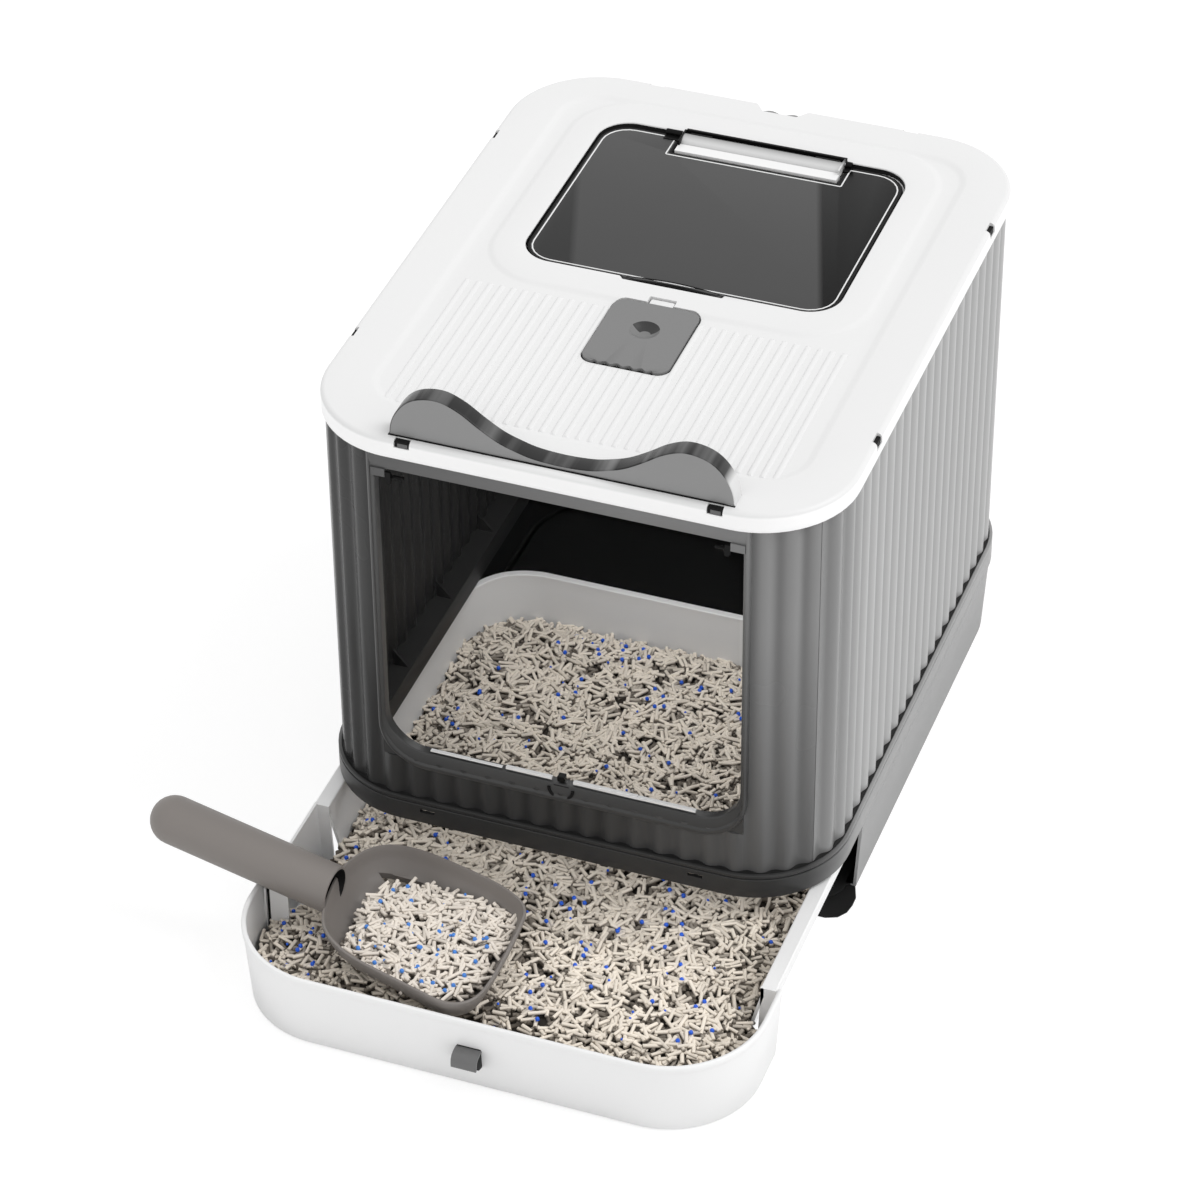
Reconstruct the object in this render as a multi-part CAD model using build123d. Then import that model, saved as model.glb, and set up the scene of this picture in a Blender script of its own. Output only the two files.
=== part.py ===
"""Covered litter box with a pull-out drawer, built as separate named pieces.

Units are millimetres. X points right, Y to the back, Z up. While building,
y = 0 is the housing's front; save() then puts the origin on the underside of
the base, in its middle. The drawer stands open by DRAWER_OUT.
"""

import math
import os

from build123d import *

os.makedirs("parts", exist_ok=True)

# Clearances: between moving pieces, between fixed ones, and round the pins
RUN_GAP = 0.4
SEAT_GAP = 0.3
PIN_FIT = 0.06

# How far cutting blocks pass a face, and how far they reach past the part
CUT = 1.0
FAR = 2000.0

# Overall sizes of the housing
WIDTH = 410.0
DEPTH = 523.0
HEIGHT = 426.0
CORNER = 74.0

# Base: floor plate, and skirts that lean in towards the floor
BASE_TOP = 68.0
BASE_INSET = 0.5
BASE_WALL = 2.5
BASE_DRAFT = 3.4
BASE_FLOOR = 2.5
BASE_FRONT = 110.0
TONGUE_REACH = 25.0
TONGUE_INSET = 12.0
TONGUE_CORNER = 22.0

# Ring that carries the walls
RING_HEIGHT = 22.0
RING_PROUD = 1.0
RING_WALL = 3.0
LEDGE_REACH = 25.0
LEDGE_THICK = 3.0
LEDGE_LIP = 2.0
LEDGE_CORNER = 30.0
FRONT_BEAM = 13.0
BACK_BEAM = 7.0
GROOVE_DROP = 3.0
GROOVE_WIDTH = 1.5
SLOT_X = 108.0
SLOT_WIDTH = 12.0
SLOT_HEIGHT = 3.0
SLOT_DROP = 8.5
GUSSET_HEIGHT = 15.0
GUSSET_REACH = 13.5
GUSSET_THICK = 2.0
GUSSET_PLACES = (147.0, 240.0, 334.0)

# Wavy walls
WALL_INSET = 4.0
WALL_THICK = 2.5
WAVE_HEIGHT = 1.5
WAVE_PITCH = 19.6
SEAM_ANGLE = 55.0

# Door opening in the front panel, with its frame and hinge lugs
DOOR_SIDE = 64.0
DOOR_BOTTOM = 134.0
DOOR_HEAD = 30.0
DOOR_RADIUS = 33.0
FRAME_SIDE = 5.5
FRAME_SILL = 15.0
FRAME_FRONT = 1.0
FRAME_THICK = 11.0
LUG_LENGTH = 11.0
LUG_DROP = 13.0
LUG_SETBACK = 1.0

# Entry flap, its pins, and the magnets that hold it shut
FLAP_THICK = 2.4
FLAP_SIDE_GAP = 3.0
FLAP_SILL_GAP = 2.0
FLAP_BARREL = 3.6
FLAP_AXIS_DROP = 8.0
FLAP_SETBACK = 6.0
FLAP_SHOULDER = 11.0
PIN_RADIUS = 1.5
PIN_SEAT = 8.0
PIN_END_GAP = 0.5
MAGNET_HALF = 7.0
MAGNET_TALL = 5.0
MAGNET_THICK = 2.2
SILL_MAGNET_HALF = 8.0
SILL_MAGNET_TALL = 7.0
SILL_MAGNET_DEPTH = 8.0
MAGNET_SINK = 0.8

# Lid: skirted shell with a shallow recess and ribs
LID_THICK = 5.0
LID_SKIRT = 16.0
LID_WALL = 2.0
LID_ROUND = 4.0
RECESS_DEPTH = 2.0
RECESS_CORNER = 34.0
RECESS_INSET = 39.0
RECESS_FRONT = 45.0
RECESS_BACK = 33.0
RIB_COUNT = 33
RIB_PITCH = 9.3
RIB_WIDTH = 4.2
RIB_HEIGHT = 1.1
RIB_FRONT = 47.5
RIB_BACK_GAP = 40.0
REAR_NOTCH_HALF = 15.0
REAR_NOTCH_REACH = 10.0
REAR_NOTCH_DEPTH = 3.5

# Snap clips round the lid's skirt
CLIP_WIDTH = 12.0
CLIP_HEIGHT = 7.5
CLIP_SINK = 0.5
CLIP_FRONT_INSET = 14.0
CLIP_BACK_INSET = 24.0
CLIP_SIDE_FRONT = 121.0
CLIP_SIDE_BACK = 112.0

# Window in the lid, its flap, hinge bracket and pins
WINDOW_SIDE = 79.0
WINDOW_LENGTH = 207.0
WINDOW_MARGIN = 62.0
WINDOW_CORNER = 26.0
SURROUND_SIDE = 24.0
SURROUND_END = 29.5
SURROUND_CORNER = 50.0
WINDOW_SEAT = 9.0
SEAT_BORDER = 6.0
SEAT_DROP = 2.5
WINDOW_PLATE = 2.5
WINDOW_GAP = 2.0
KNUCKLE_RADIUS = 3.5
KNUCKLE_LENGTH = 9.4
KNUCKLE_ARM = 11.0
KNUCKLE_ARM_THICK = 2.5
KNUCKLE_GAP = 0.6
BRACKET_HALF = 66.0
BRACKET_DEPTH = 29.0
BRACKET_GAP = 1.5
BRACKET_STRIP = 2.0
BRACKET_LAP = 5.0
FINGER_HALF = 39.5
FINGER_REACH = 3.5
FINGER_ROOT = 5.0
FINGER_STEP = 2.0
FINGER_RISE = 1.5
FINGER_GAP = 1.5

# Deodoriser: cover in a pocket of the lid, case under it, carbon block inside
COVER_WIDTH = 69.0
COVER_LENGTH = 85.0
COVER_CORNER = 10.0
COVER_THICK = 2.6
COVER_PROUD = 1.4
COVER_SETBACK = 69.5
COVER_GAP = 0.5
COVER_TAB_HALF = 10.0
COVER_TAB_REACH = 11.5
COVER_TAB_STEP = 0.8
DIMPLE_OFFSET = 7.5
DIMPLE_RADIUS = 11.5
DIMPLE_DEPTH = 5.0
DIMPLE_WALL = 0.8
CASE_DEPTH = 21.0
CASE_WALL = 1.5
CASE_BORDER = 4.0
CASE_CORNER = 6.0
CASE_LEDGE = 4.0
CASE_SLOTS = 9
CASE_SLOT_PITCH = 6.0
CASE_SLOT_WIDTH = 2.4
CASE_SLOT_INSET = 8.0
BLOCK_HEIGHT = 14.0
BLOCK_GAP = 2.0

# Crest on the lid's front rim: its low middle, and each hump's outline from its outer end inwards
CREST_Y = 7.0
CREST_THICK = 14.5
CREST_END_GAP = 2.0
CREST_PEG_INSET = 35.4
CREST_PEG_RADIUS = 3.0
CREST_PEG_ROOT = 3.5
CREST_MIDDLE = 3.7
CREST_HUMP = [(0, 0), (1, 9.0), (4, 17.8), (10, 27.0), (17, 33.2), (25, 36.6), (34, 38.0), (43, 36.8),
              (55, 31.2), (68, 22.0), (82, 13.4), (95, 8.5), (109, 5.0)]

# Drawer front: curved fascia with a foot that carries the tray's floor
DRAWER_OUT = 194.0
DRAWER_TOP_GAP = 1.0
FASCIA_PROUD = 0.5
FASCIA_CORNER = 76.0
FASCIA_WALL = 3.0
FASCIA_DRAFT = 4.3
FASCIA_LIFT = 1.0
FOOT_DEPTH = 22.0
FOOT_REACH = 50.0
FOOT_INSET = 40.0

# Drawer tray, its runner flanges and the litter in it
TRAY_INSET = 14.0
TRAY_WALL = 2.5
TRAY_CORNER = 62.0
TRAY_BACK_GAP = 10.0
TRAY_RIM_DROP = 1.5
TRAY_FRONT = 90.0
REAR_RIM_RISE = 11.0
REAR_RIM_HALF = 150.0
FLANGE_THICK = 2.0
FLANGE_DROP = 10.0
FLANGE_GAP = 0.6
FLANGE_LAP = 1.0
LITTER_DEPTH = 38.5
LITTER_GAP = 0.6

# Pull tab on the drawer front
TAB_HALF = 15.0
TAB_THICK = 2.7
TAB_BULGE = 9.5
TAB_TOP = 42.0
TAB_FOOT = 9.0

# Scoop: rim outline as offsets from the root of its handle
SCOOP_X = 65.0
SCOOP_Y = 89.4
SCOOP_ABOVE_LITTER = 3.1
SCOOP_DEPTH = 28.0
SCOOP_WALL = 2.4
SCOOP_FLARE = 5.0
SCOOP_FOOT_INSET = 13.0
SCOOP_HIP = 9.0
SCOOP_SLOTS = 7
SCOOP_SLOT_PITCH = 13.0
SCOOP_SLOT_WIDTH = 4.4
SCOOP_SLOT_START = 22.0
SCOOP_SLOT_END = 116.0
HANDLE_RADIUS = 19.0
HANDLE_WALL = 2.5
HANDLE_RISE = 2.4
HANDLE = (-135.0, 10.1, 22.6)
HEAP_HEIGHT = 17.0
HEAP_GAP = 4.0
HEAP_SLOPE = 17.0
HEAP_START = 18.0
RIM = [(-0.3, -27.5), (-6.0, -3.1), (-8.0, 24.6), (-3.5, 44.0), (6.0, 58.6), (21.0, 66.8), (40.5, 67.8),
       (61.4, 64.6), (89.8, 57.9), (112.0, 51.1), (129.0, 42.8), (139.0, 33.5), (143.2, 18.6),
       (145.0, -18.5), (144.3, -48.2), (141.5, -67.4), (135.0, -77.9), (125.0, -82.9), (112.0, -82.2),
       (90.0, -76.4), (63.9, -69.4), (39.1, -61.8), (22.6, -53.4), (8.7, -41.9)]

# Heights and places that follow from the sizes above
MID_Y = DEPTH / 2
RING_TOP = BASE_TOP + RING_HEIGHT
WALL_TOP = HEIGHT - LID_THICK
SKIRT_LOW = HEIGHT - LID_SKIRT
DRAWER_TOP = BASE_TOP - DRAWER_TOP_GAP
DRAWER_FLOOR = BASE_FLOOR + RUN_GAP
TRAY_INSIDE = DRAWER_FLOOR + TRAY_WALL
LITTER_TOP = TRAY_INSIDE + LITTER_DEPTH
STRAIGHT = WIDTH / 2 - CORNER
DOOR_HALF = WIDTH / 2 - DOOR_SIDE
DOOR_TOP = HEIGHT - DOOR_HEAD
WINDOW_HALF = WIDTH / 2 - WINDOW_SIDE
WINDOW_BACK = DEPTH - WINDOW_MARGIN
WINDOW_FRONT = WINDOW_BACK - WINDOW_LENGTH
COVER_Y = WINDOW_FRONT - COVER_SETBACK
CREST_HALF = STRAIGHT - CREST_END_GAP


def rounded(x_size, y_size, radius, z0, z1, y_mid=MID_Y):
    """Upright block with rounded corners between two heights."""
    with BuildPart() as block:
        with BuildSketch(Plane.XY.offset(z0)):
            with Locations((0, y_mid)):
                RectangleRounded(x_size, y_size, radius)
        extrude(amount=z1 - z0)
    return block.part


def hanging(inset, corner, z_top, z_low, y_mid, draft):
    """The housing's outline less an inset, narrowing downwards from its top."""
    with BuildPart() as block:
        with BuildSketch(Plane.XY.offset(z_top)):
            with Locations((0, y_mid)):
                RectangleRounded(WIDTH - 2 * inset, DEPTH - 2 * inset, corner - inset)
        extrude(amount=-(z_top - z_low), taper=draft)
    return block.part


def box(x0, x1, y0, y1, z0, z1):
    """Plain block from its six bounds."""
    return Pos((x0 + x1) / 2, (y0 + y1) / 2, (z0 + z1) / 2) * Box(abs(x1 - x0), abs(y1 - y0), abs(z1 - z0))


def rod_x(x0, x1, y, z, radius):
    """Round bar along X."""
    return Pos((x0 + x1) / 2, y, z) * (Rot(0, 90, 0) * Cylinder(radius, abs(x1 - x0)))


def save(shape, name):
    """Move the origin to the middle of the base and write the piece."""
    export_step(Pos(0, -MID_Y, 0) * shape, f"parts/{name}.step")


def save_group(solids, name):
    """The same for several like solids that share one node."""
    export_step(Compound([Pos(0, -MID_Y, 0) * solid for solid in solids]), f"parts/{name}.step")


# Base shell: floor plate with side and rear skirts, open at the front
skirt_outer = hanging(BASE_INSET, CORNER, BASE_TOP, 0, MID_Y, BASE_DRAFT)
skirt_inner = hanging(BASE_INSET + BASE_WALL, CORNER, BASE_TOP, 0, MID_Y, BASE_DRAFT)
behind_front = box(-FAR, FAR, BASE_FRONT, FAR, -CUT, BASE_TOP)
floor_layer = box(-FAR, FAR, BASE_FRONT, FAR, 0, BASE_FLOOR)
tongue_length = TONGUE_REACH + 2 * TONGUE_CORNER
tongue = rounded(WIDTH - 2 * TONGUE_INSET, tongue_length, TONGUE_CORNER, 0, BASE_FLOOR,
                 y_mid=BASE_FRONT - TONGUE_REACH + tongue_length / 2)
base_shell = ((skirt_outer - skirt_inner) & behind_front) + (skirt_inner & floor_layer) + tongue
save(base_shell, "base_shell")

# Base ring: frame over the base, hollow below its ledge, with small gussets
ring_width = WIDTH + 2 * RING_PROUD
ring_depth = DEPTH + 2 * RING_PROUD
ledge_half = WIDTH / 2 - LEDGE_REACH
ledge_length = DEPTH - BACK_BEAM - FRONT_BEAM
ledge_y = FRONT_BEAM + ledge_length / 2
ring = rounded(ring_width, ring_depth, CORNER + RING_PROUD, BASE_TOP, RING_TOP)
ring = ring - rounded(2 * ledge_half, ledge_length, LEDGE_CORNER, 0, FAR, y_mid=ledge_y)
under = rounded(ring_width - 2 * RING_WALL, ring_depth - 2 * RING_WALL, CORNER + RING_PROUD - RING_WALL,
                0, RING_TOP - LEDGE_THICK)
under = under - rounded(2 * ledge_half + 2 * LEDGE_LIP, ledge_length + 2 * LEDGE_LIP,
                        LEDGE_CORNER + LEDGE_LIP, 0, FAR, y_mid=ledge_y)
ring = ring - under
groove_top = RING_TOP - GROOVE_DROP
groove = rounded(ring_width + CUT, ring_depth + CUT, CORNER + RING_PROUD, groove_top - GROOVE_WIDTH,
                 groove_top)
ring = ring - (groove - rounded(WIDTH, DEPTH, CORNER, 0, FAR))
slot_top = RING_TOP - SLOT_DROP
for x in (-SLOT_X, SLOT_X):
    ring = ring - box(x - SLOT_WIDTH / 2, x + SLOT_WIDTH / 2, -RING_PROUD - CUT, RING_WALL - RING_PROUD + CUT,
                      slot_top - SLOT_HEIGHT, slot_top)
for side in (-1, 1):
    for y in GUSSET_PLACES:
        tip = side * (ledge_half + LEDGE_LIP)
        root = tip + side * GUSSET_REACH
        with BuildPart() as gusset:
            with BuildSketch(Plane.XZ.offset(-y - GUSSET_THICK / 2)):
                with BuildLine():
                    Polyline((root, RING_TOP), (tip, RING_TOP), (root, RING_TOP + GUSSET_HEIGHT), close=True)
                make_face()
            extrude(amount=GUSSET_THICK)
        ring = ring + gusset.part
save(ring, "base_ring")

# Walls: wavy sheets that follow the housing's rounded outline
WALL_RADIUS = CORNER - WALL_INSET - WALL_THICK / 2
QUARTER = WALL_RADIUS * math.pi / 2
SIDE_LENGTH = DEPTH - 2 * CORNER
SEAM = STRAIGHT + WALL_RADIUS * math.radians(SEAM_ANGLE)
HALF_ROUND = 2 * STRAIGHT + 2 * QUARTER + SIDE_LENGTH
POINT_STEP = 2.4


def outline_point(s):
    """Point and outward direction on the walls' middle line, s from the front middle."""
    inset = WALL_INSET + WALL_THICK / 2
    sign = 1.0 if s >= 0 else -1.0
    s = abs(s)
    if s <= STRAIGHT:
        x, y, nx, ny = s, inset, 0.0, -1.0
    elif s <= STRAIGHT + QUARTER:
        a = (s - STRAIGHT) / WALL_RADIUS
        nx, ny = math.sin(a), -math.cos(a)
        x, y = STRAIGHT + WALL_RADIUS * nx, CORNER + WALL_RADIUS * ny
    elif s <= STRAIGHT + QUARTER + SIDE_LENGTH:
        x, y, nx, ny = WIDTH / 2 - inset, CORNER + s - STRAIGHT - QUARTER, 1.0, 0.0
    elif s <= STRAIGHT + 2 * QUARTER + SIDE_LENGTH:
        a = (s - STRAIGHT - QUARTER - SIDE_LENGTH) / WALL_RADIUS
        nx, ny = math.cos(a), math.sin(a)
        x, y = STRAIGHT + WALL_RADIUS * nx, DEPTH - CORNER + WALL_RADIUS * ny
    else:
        x, y, nx, ny = HALF_ROUND - s, DEPTH - inset, 0.0, 1.0
    return sign * x, y, sign * nx, ny


def wall_sheet(s0, s1):
    """Upright wavy sheet between two places on the outline."""
    count = max(8, int((s1 - s0) / POINT_STEP))
    outer, inner = [], []
    for k in range(count + 1):
        s = s0 + (s1 - s0) * k / count
        x, y, nx, ny = outline_point(s)
        wave = WAVE_HEIGHT * math.cos(2 * math.pi * s / WAVE_PITCH)
        outer.append((x + nx * (wave + WALL_THICK / 2), y + ny * (wave + WALL_THICK / 2)))
        inner.append((x + nx * (wave - WALL_THICK / 2), y + ny * (wave - WALL_THICK / 2)))
    with BuildPart() as sheet:
        with BuildSketch(Plane.XY.offset(RING_TOP)):
            with BuildLine():
                Spline(*outer)
                Line(outer[-1], inner[-1])
                Spline(*inner[::-1])
                Line(inner[0], outer[0])
            make_face()
        extrude(amount=WALL_TOP - RING_TOP)
    return sheet.part


def door_shape(half, low, high, radius, y0, y1):
    """Block shaped like the door opening, round at its lower corners only."""
    with BuildPart() as shape:
        with BuildSketch(Plane.XZ.offset(-y0)):
            with BuildLine():
                Polyline((-half, low + radius), (-half, high), (half, high), (half, low + radius))
                RadiusArc((half, low + radius), (half - radius, low), radius)
                Line((half - radius, low), (-half + radius, low))
                RadiusArc((-half + radius, low), (-half, low + radius), radius)
            make_face()
        extrude(amount=-(y1 - y0))
    return shape.part


right_wall = wall_sheet(SEAM, HALF_ROUND - SEAM)
save(right_wall, "right_wall")
save(mirror(right_wall, Plane.YZ), "left_wall")
rear_half = wall_sheet(HALF_ROUND - SEAM, HALF_ROUND)
save(rear_half + mirror(rear_half, Plane.YZ), "rear_wall")

# Front panel: wavy sheet round both front corners, with a framed door opening
FRAME_BACK = FRAME_FRONT + FRAME_THICK
front = wall_sheet(-SEAM, SEAM)
front = front - box(-DOOR_HALF - FRAME_SIDE / 2, DOOR_HALF + FRAME_SIDE / 2, -CUT, WALL_RADIUS,
                    DOOR_BOTTOM - FRAME_SILL / 2, FAR)
frame = door_shape(DOOR_HALF + FRAME_SIDE, DOOR_BOTTOM - FRAME_SILL, WALL_TOP, DOOR_RADIUS + FRAME_SIDE,
                   FRAME_FRONT, FRAME_BACK)
frame = frame - door_shape(DOOR_HALF, DOOR_BOTTOM, DOOR_TOP, DOOR_RADIUS, -CUT, FRAME_BACK + CUT)
lid_gap = LID_WALL + SEAT_GAP
behind_skirt = rounded(WIDTH - 2 * lid_gap, DEPTH - 2 * lid_gap, CORNER - lid_gap, 0, FAR)
under_skirt = box(-FAR, FAR, -CUT, FAR, 0, SKIRT_LOW - SEAT_GAP)
front = (front + frame) & (behind_skirt + under_skirt)
flap_y = FRAME_FRONT + FLAP_SETBACK
flap_z = DOOR_TOP - FLAP_AXIS_DROP
lug_inner = DOOR_HALF - LUG_LENGTH
for side in (-1, 1):
    front = front + box(side * lug_inner, side * (DOOR_HALF + FRAME_SIDE / 2), FRAME_FRONT + LUG_SETBACK,
                        FRAME_BACK, DOOR_TOP - LUG_DROP, DOOR_TOP + CUT)
    front = front - rod_x(side * (lug_inner - CUT), side * (lug_inner + PIN_SEAT + PIN_END_GAP),
                          flap_y, flap_z, PIN_RADIUS + PIN_FIT)
pocket_front = FRAME_BACK - SILL_MAGNET_DEPTH
pocket_low = DOOR_BOTTOM - SILL_MAGNET_TALL
front = front - box(-SILL_MAGNET_HALF, SILL_MAGNET_HALF, pocket_front, FRAME_BACK + CUT, pocket_low,
                    DOOR_BOTTOM + CUT)
save(front, "front_panel")
save(box(-SILL_MAGNET_HALF, SILL_MAGNET_HALF, pocket_front, FRAME_BACK - MAGNET_SINK, pocket_low,
         DOOR_BOTTOM - MAGNET_SINK), "frame_magnet")

# Entry flap: clear plate hanging from two pins, with a barrel along its top edge
plate_front = flap_y - FLAP_THICK / 2
plate_back = flap_y + FLAP_THICK / 2
flap_low = DOOR_BOTTOM + FLAP_SILL_GAP
shoulder = flap_z - FLAP_SHOULDER
barrel_end = lug_inner - FLAP_SIDE_GAP
entry = door_shape(DOOR_HALF - FLAP_SIDE_GAP, flap_low, shoulder, DOOR_RADIUS - FLAP_SIDE_GAP, plate_front,
                   plate_back)
entry = entry + box(-barrel_end, barrel_end, plate_front, plate_back, shoulder - CUT, flap_z)
entry = entry + rod_x(-barrel_end, barrel_end, flap_y, flap_z, FLAP_BARREL)
entry_pins = []
for side in (-1, 1):
    deep = side * (barrel_end - PIN_SEAT)
    entry = entry - rod_x(deep, side * (barrel_end + CUT), flap_y, flap_z, PIN_RADIUS)
    entry_pins.append(rod_x(deep, side * (lug_inner + PIN_SEAT), flap_y, flap_z, PIN_RADIUS))
save(entry, "entry_flap")
save_group(entry_pins, "entry_pins")
save(box(-MAGNET_HALF, MAGNET_HALF, plate_back, plate_back + MAGNET_THICK, flap_low, flap_low + MAGNET_TALL),
     "flap_magnet")

# Lid: shell with a recessed panel, ribs, window seat and deodoriser pocket
recess_z = HEIGHT - RECESS_DEPTH
pocket_z = recess_z + COVER_PROUD - COVER_THICK
window_y = (WINDOW_FRONT + WINDOW_BACK) / 2
window_length = WINDOW_BACK - WINDOW_FRONT
recess_length = DEPTH - RECESS_FRONT - RECESS_BACK
lid = rounded(WIDTH, DEPTH, CORNER, SKIRT_LOW, HEIGHT)
lid = fillet(lid.edges().group_by(Axis.Z)[-1], LID_ROUND)
lid = lid - rounded(WIDTH - 2 * LID_WALL, DEPTH - 2 * LID_WALL, CORNER - LID_WALL, 0, WALL_TOP)
lid = lid - rounded(WIDTH - 2 * RECESS_INSET, recess_length, RECESS_CORNER, recess_z, FAR,
                    y_mid=RECESS_FRONT + recess_length / 2)
lid = lid + rounded(2 * (WINDOW_HALF + SURROUND_SIDE), window_length + 2 * SURROUND_END, SURROUND_CORNER,
                    WALL_TOP, HEIGHT, y_mid=window_y)
lid = lid + rounded(2 * (WINDOW_HALF + SEAT_BORDER), window_length + 2 * SEAT_BORDER,
                    WINDOW_CORNER + SEAT_BORDER, WALL_TOP - SEAT_DROP, WALL_TOP, y_mid=window_y)
lid = lid - rounded(2 * WINDOW_HALF, window_length, WINDOW_CORNER, WALL_TOP, FAR, y_mid=window_y)
lid = lid - rounded(2 * (WINDOW_HALF - WINDOW_SEAT), window_length - 2 * WINDOW_SEAT,
                    WINDOW_CORNER - WINDOW_SEAT + SEAT_BORDER, 0, FAR, y_mid=window_y)
lid = lid - box(-FINGER_HALF - FINGER_GAP, FINGER_HALF + FINGER_GAP, WINDOW_FRONT - FINGER_REACH - FINGER_GAP,
                WINDOW_FRONT + CUT, WALL_TOP + FINGER_STEP, FAR)
for k in range(RIB_COUNT):
    x = (k - (RIB_COUNT - 1) / 2) * RIB_PITCH
    lid = lid + box(x - RIB_WIDTH / 2, x + RIB_WIDTH / 2, RIB_FRONT, WINDOW_FRONT - RIB_BACK_GAP, WALL_TOP,
                    recess_z + RIB_HEIGHT)
lid = lid - rounded(COVER_WIDTH + 2 * COVER_GAP, COVER_LENGTH + 2 * COVER_GAP, COVER_CORNER + COVER_GAP,
                    pocket_z, FAR, y_mid=COVER_Y)
lid = lid - box(-COVER_TAB_HALF - COVER_GAP, COVER_TAB_HALF + COVER_GAP, COVER_Y,
                COVER_Y + COVER_LENGTH / 2 + COVER_TAB_REACH + COVER_GAP, pocket_z, FAR)
case_width = COVER_WIDTH - 2 * CASE_BORDER
case_length = COVER_LENGTH - 2 * CASE_BORDER
lid = lid - rounded(case_width - 2 * CASE_LEDGE, case_length - 2 * CASE_LEDGE, CASE_CORNER, 0, FAR,
                    y_mid=COVER_Y)
peg_x = CREST_HALF - CREST_PEG_INSET
for x in (-peg_x, peg_x):
    lid = lid - (Pos(x, CREST_Y + CREST_THICK / 2, HEIGHT) * Cylinder(CREST_PEG_RADIUS, 4 * LID_THICK))
lid = lid - box(-REAR_NOTCH_HALF, REAR_NOTCH_HALF, DEPTH - REAR_NOTCH_REACH, DEPTH + CUT,
                HEIGHT - REAR_NOTCH_DEPTH, FAR)

# Snap clips: small blocks behind windows in the lid's skirt, on all four sides
clip_low = WALL_TOP - CLIP_HEIGHT
clip_half = CLIP_WIDTH / 2 - SEAT_GAP
clips = []
for side in (-1, 1):
    for edge, inward, clip_inset in ((0, 1, CLIP_FRONT_INSET), (DEPTH, -1, CLIP_BACK_INSET)):
        x = side * (STRAIGHT - clip_inset)
        inside = edge + inward * LID_WALL
        lid = lid - box(x - CLIP_WIDTH / 2, x + CLIP_WIDTH / 2, edge - inward * CUT, inside, clip_low, WALL_TOP)
        clips.append(box(x - clip_half, x + clip_half, edge + inward * CLIP_SINK, inside, clip_low + SEAT_GAP,
                         WALL_TOP - SEAT_GAP))
    for y in (CLIP_SIDE_FRONT, DEPTH - CLIP_SIDE_BACK):
        edge = side * WIDTH / 2
        inside = edge - side * LID_WALL
        lid = lid - box(edge + side * CUT, inside, y - CLIP_WIDTH / 2, y + CLIP_WIDTH / 2, clip_low, WALL_TOP)
        clips.append(box(edge - side * CLIP_SINK, inside, y - clip_half, y + clip_half, clip_low + SEAT_GAP,
                         WALL_TOP - SEAT_GAP))
save(lid, "lid")
save_group(clips, "lid_clips")

# Crest: two-humped grip bar pegged into the lid's front rim
hump = [(CREST_HALF - inwards, HEIGHT + height) for inwards, height in CREST_HUMP]
profile = [(-x, z) for x, z in hump] + [(0, HEIGHT + CREST_MIDDLE)] + hump[::-1]
with BuildPart() as crest_bar:
    with BuildSketch(Plane.XZ.offset(-CREST_Y)):
        with BuildLine():
            Spline(*profile)
            Line(profile[-1], profile[0])
        make_face()
    extrude(amount=-CREST_THICK)
crest = crest_bar.part
peg_length = LID_THICK + CREST_PEG_ROOT
for x in (-peg_x, peg_x):
    crest = crest + (Pos(x, CREST_Y + CREST_THICK / 2, WALL_TOP + peg_length / 2)
                     * Cylinder(CREST_PEG_RADIUS, peg_length))
save(crest, "crest")

# Window flap: smoked plate with knuckles beside its rear notch and a finger lip
axis_y = WINDOW_BACK - KNUCKLE_RADIUS - SEAT_GAP
axis_z = HEIGHT
plate_low = WALL_TOP + SEAT_GAP
plate_top = plate_low + WINDOW_PLATE
flap_front = WINDOW_FRONT + WINDOW_GAP
bracket_front = WINDOW_BACK - BRACKET_DEPTH
notch_half = BRACKET_HALF + KNUCKLE_GAP
window = rounded(2 * (WINDOW_HALF - WINDOW_GAP), axis_y - flap_front, WINDOW_CORNER - WINDOW_GAP,
                 plate_low, plate_top, y_mid=(axis_y + flap_front) / 2)
window = window + box(-FINGER_HALF, FINGER_HALF, WINDOW_FRONT - FINGER_REACH, flap_front + FINGER_ROOT,
                      WALL_TOP + FINGER_STEP + SEAT_GAP, plate_top + FINGER_RISE)
window = window - box(-notch_half, notch_half, bracket_front - BRACKET_GAP, FAR, 0, FAR)

# Window bracket: bar fixed in the lid's rear edge, with the two hinge pins
bracket = box(-BRACKET_HALF, BRACKET_HALF, bracket_front, WINDOW_BACK, WALL_TOP, plate_top)
bracket = bracket + box(-BRACKET_HALF, BRACKET_HALF, bracket_front, bracket_front + BRACKET_STRIP,
                        WALL_TOP, axis_z + SEAT_GAP)
bracket = bracket + rod_x(-BRACKET_HALF, BRACKET_HALF, axis_y, axis_z, KNUCKLE_RADIUS)
bracket = bracket + box(-BRACKET_HALF, BRACKET_HALF, axis_y, WINDOW_BACK + BRACKET_LAP,
                        HEIGHT, HEIGHT + KNUCKLE_RADIUS)
window_pins = []
for side in (-1, 1):
    near = side * notch_half
    far = side * (notch_half + KNUCKLE_LENGTH)
    window = window + rod_x(near, far, axis_y, axis_z, KNUCKLE_RADIUS)
    window = window + box(near, far, axis_y - KNUCKLE_ARM, axis_y, axis_z - KNUCKLE_RADIUS,
                          axis_z - KNUCKLE_RADIUS + KNUCKLE_ARM_THICK)
    window = window - rod_x(near - side * CUT, far + side * CUT, axis_y, axis_z, PIN_RADIUS + PIN_FIT)
    deep = side * (BRACKET_HALF - PIN_SEAT)
    bracket = bracket - rod_x(deep, side * (BRACKET_HALF + CUT), axis_y, axis_z, PIN_RADIUS)
    window_pins.append(rod_x(deep, far, axis_y, axis_z, PIN_RADIUS))
save(window, "window_flap")
save(bracket, "window_bracket")
save_group(window_pins, "window_pins")

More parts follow.
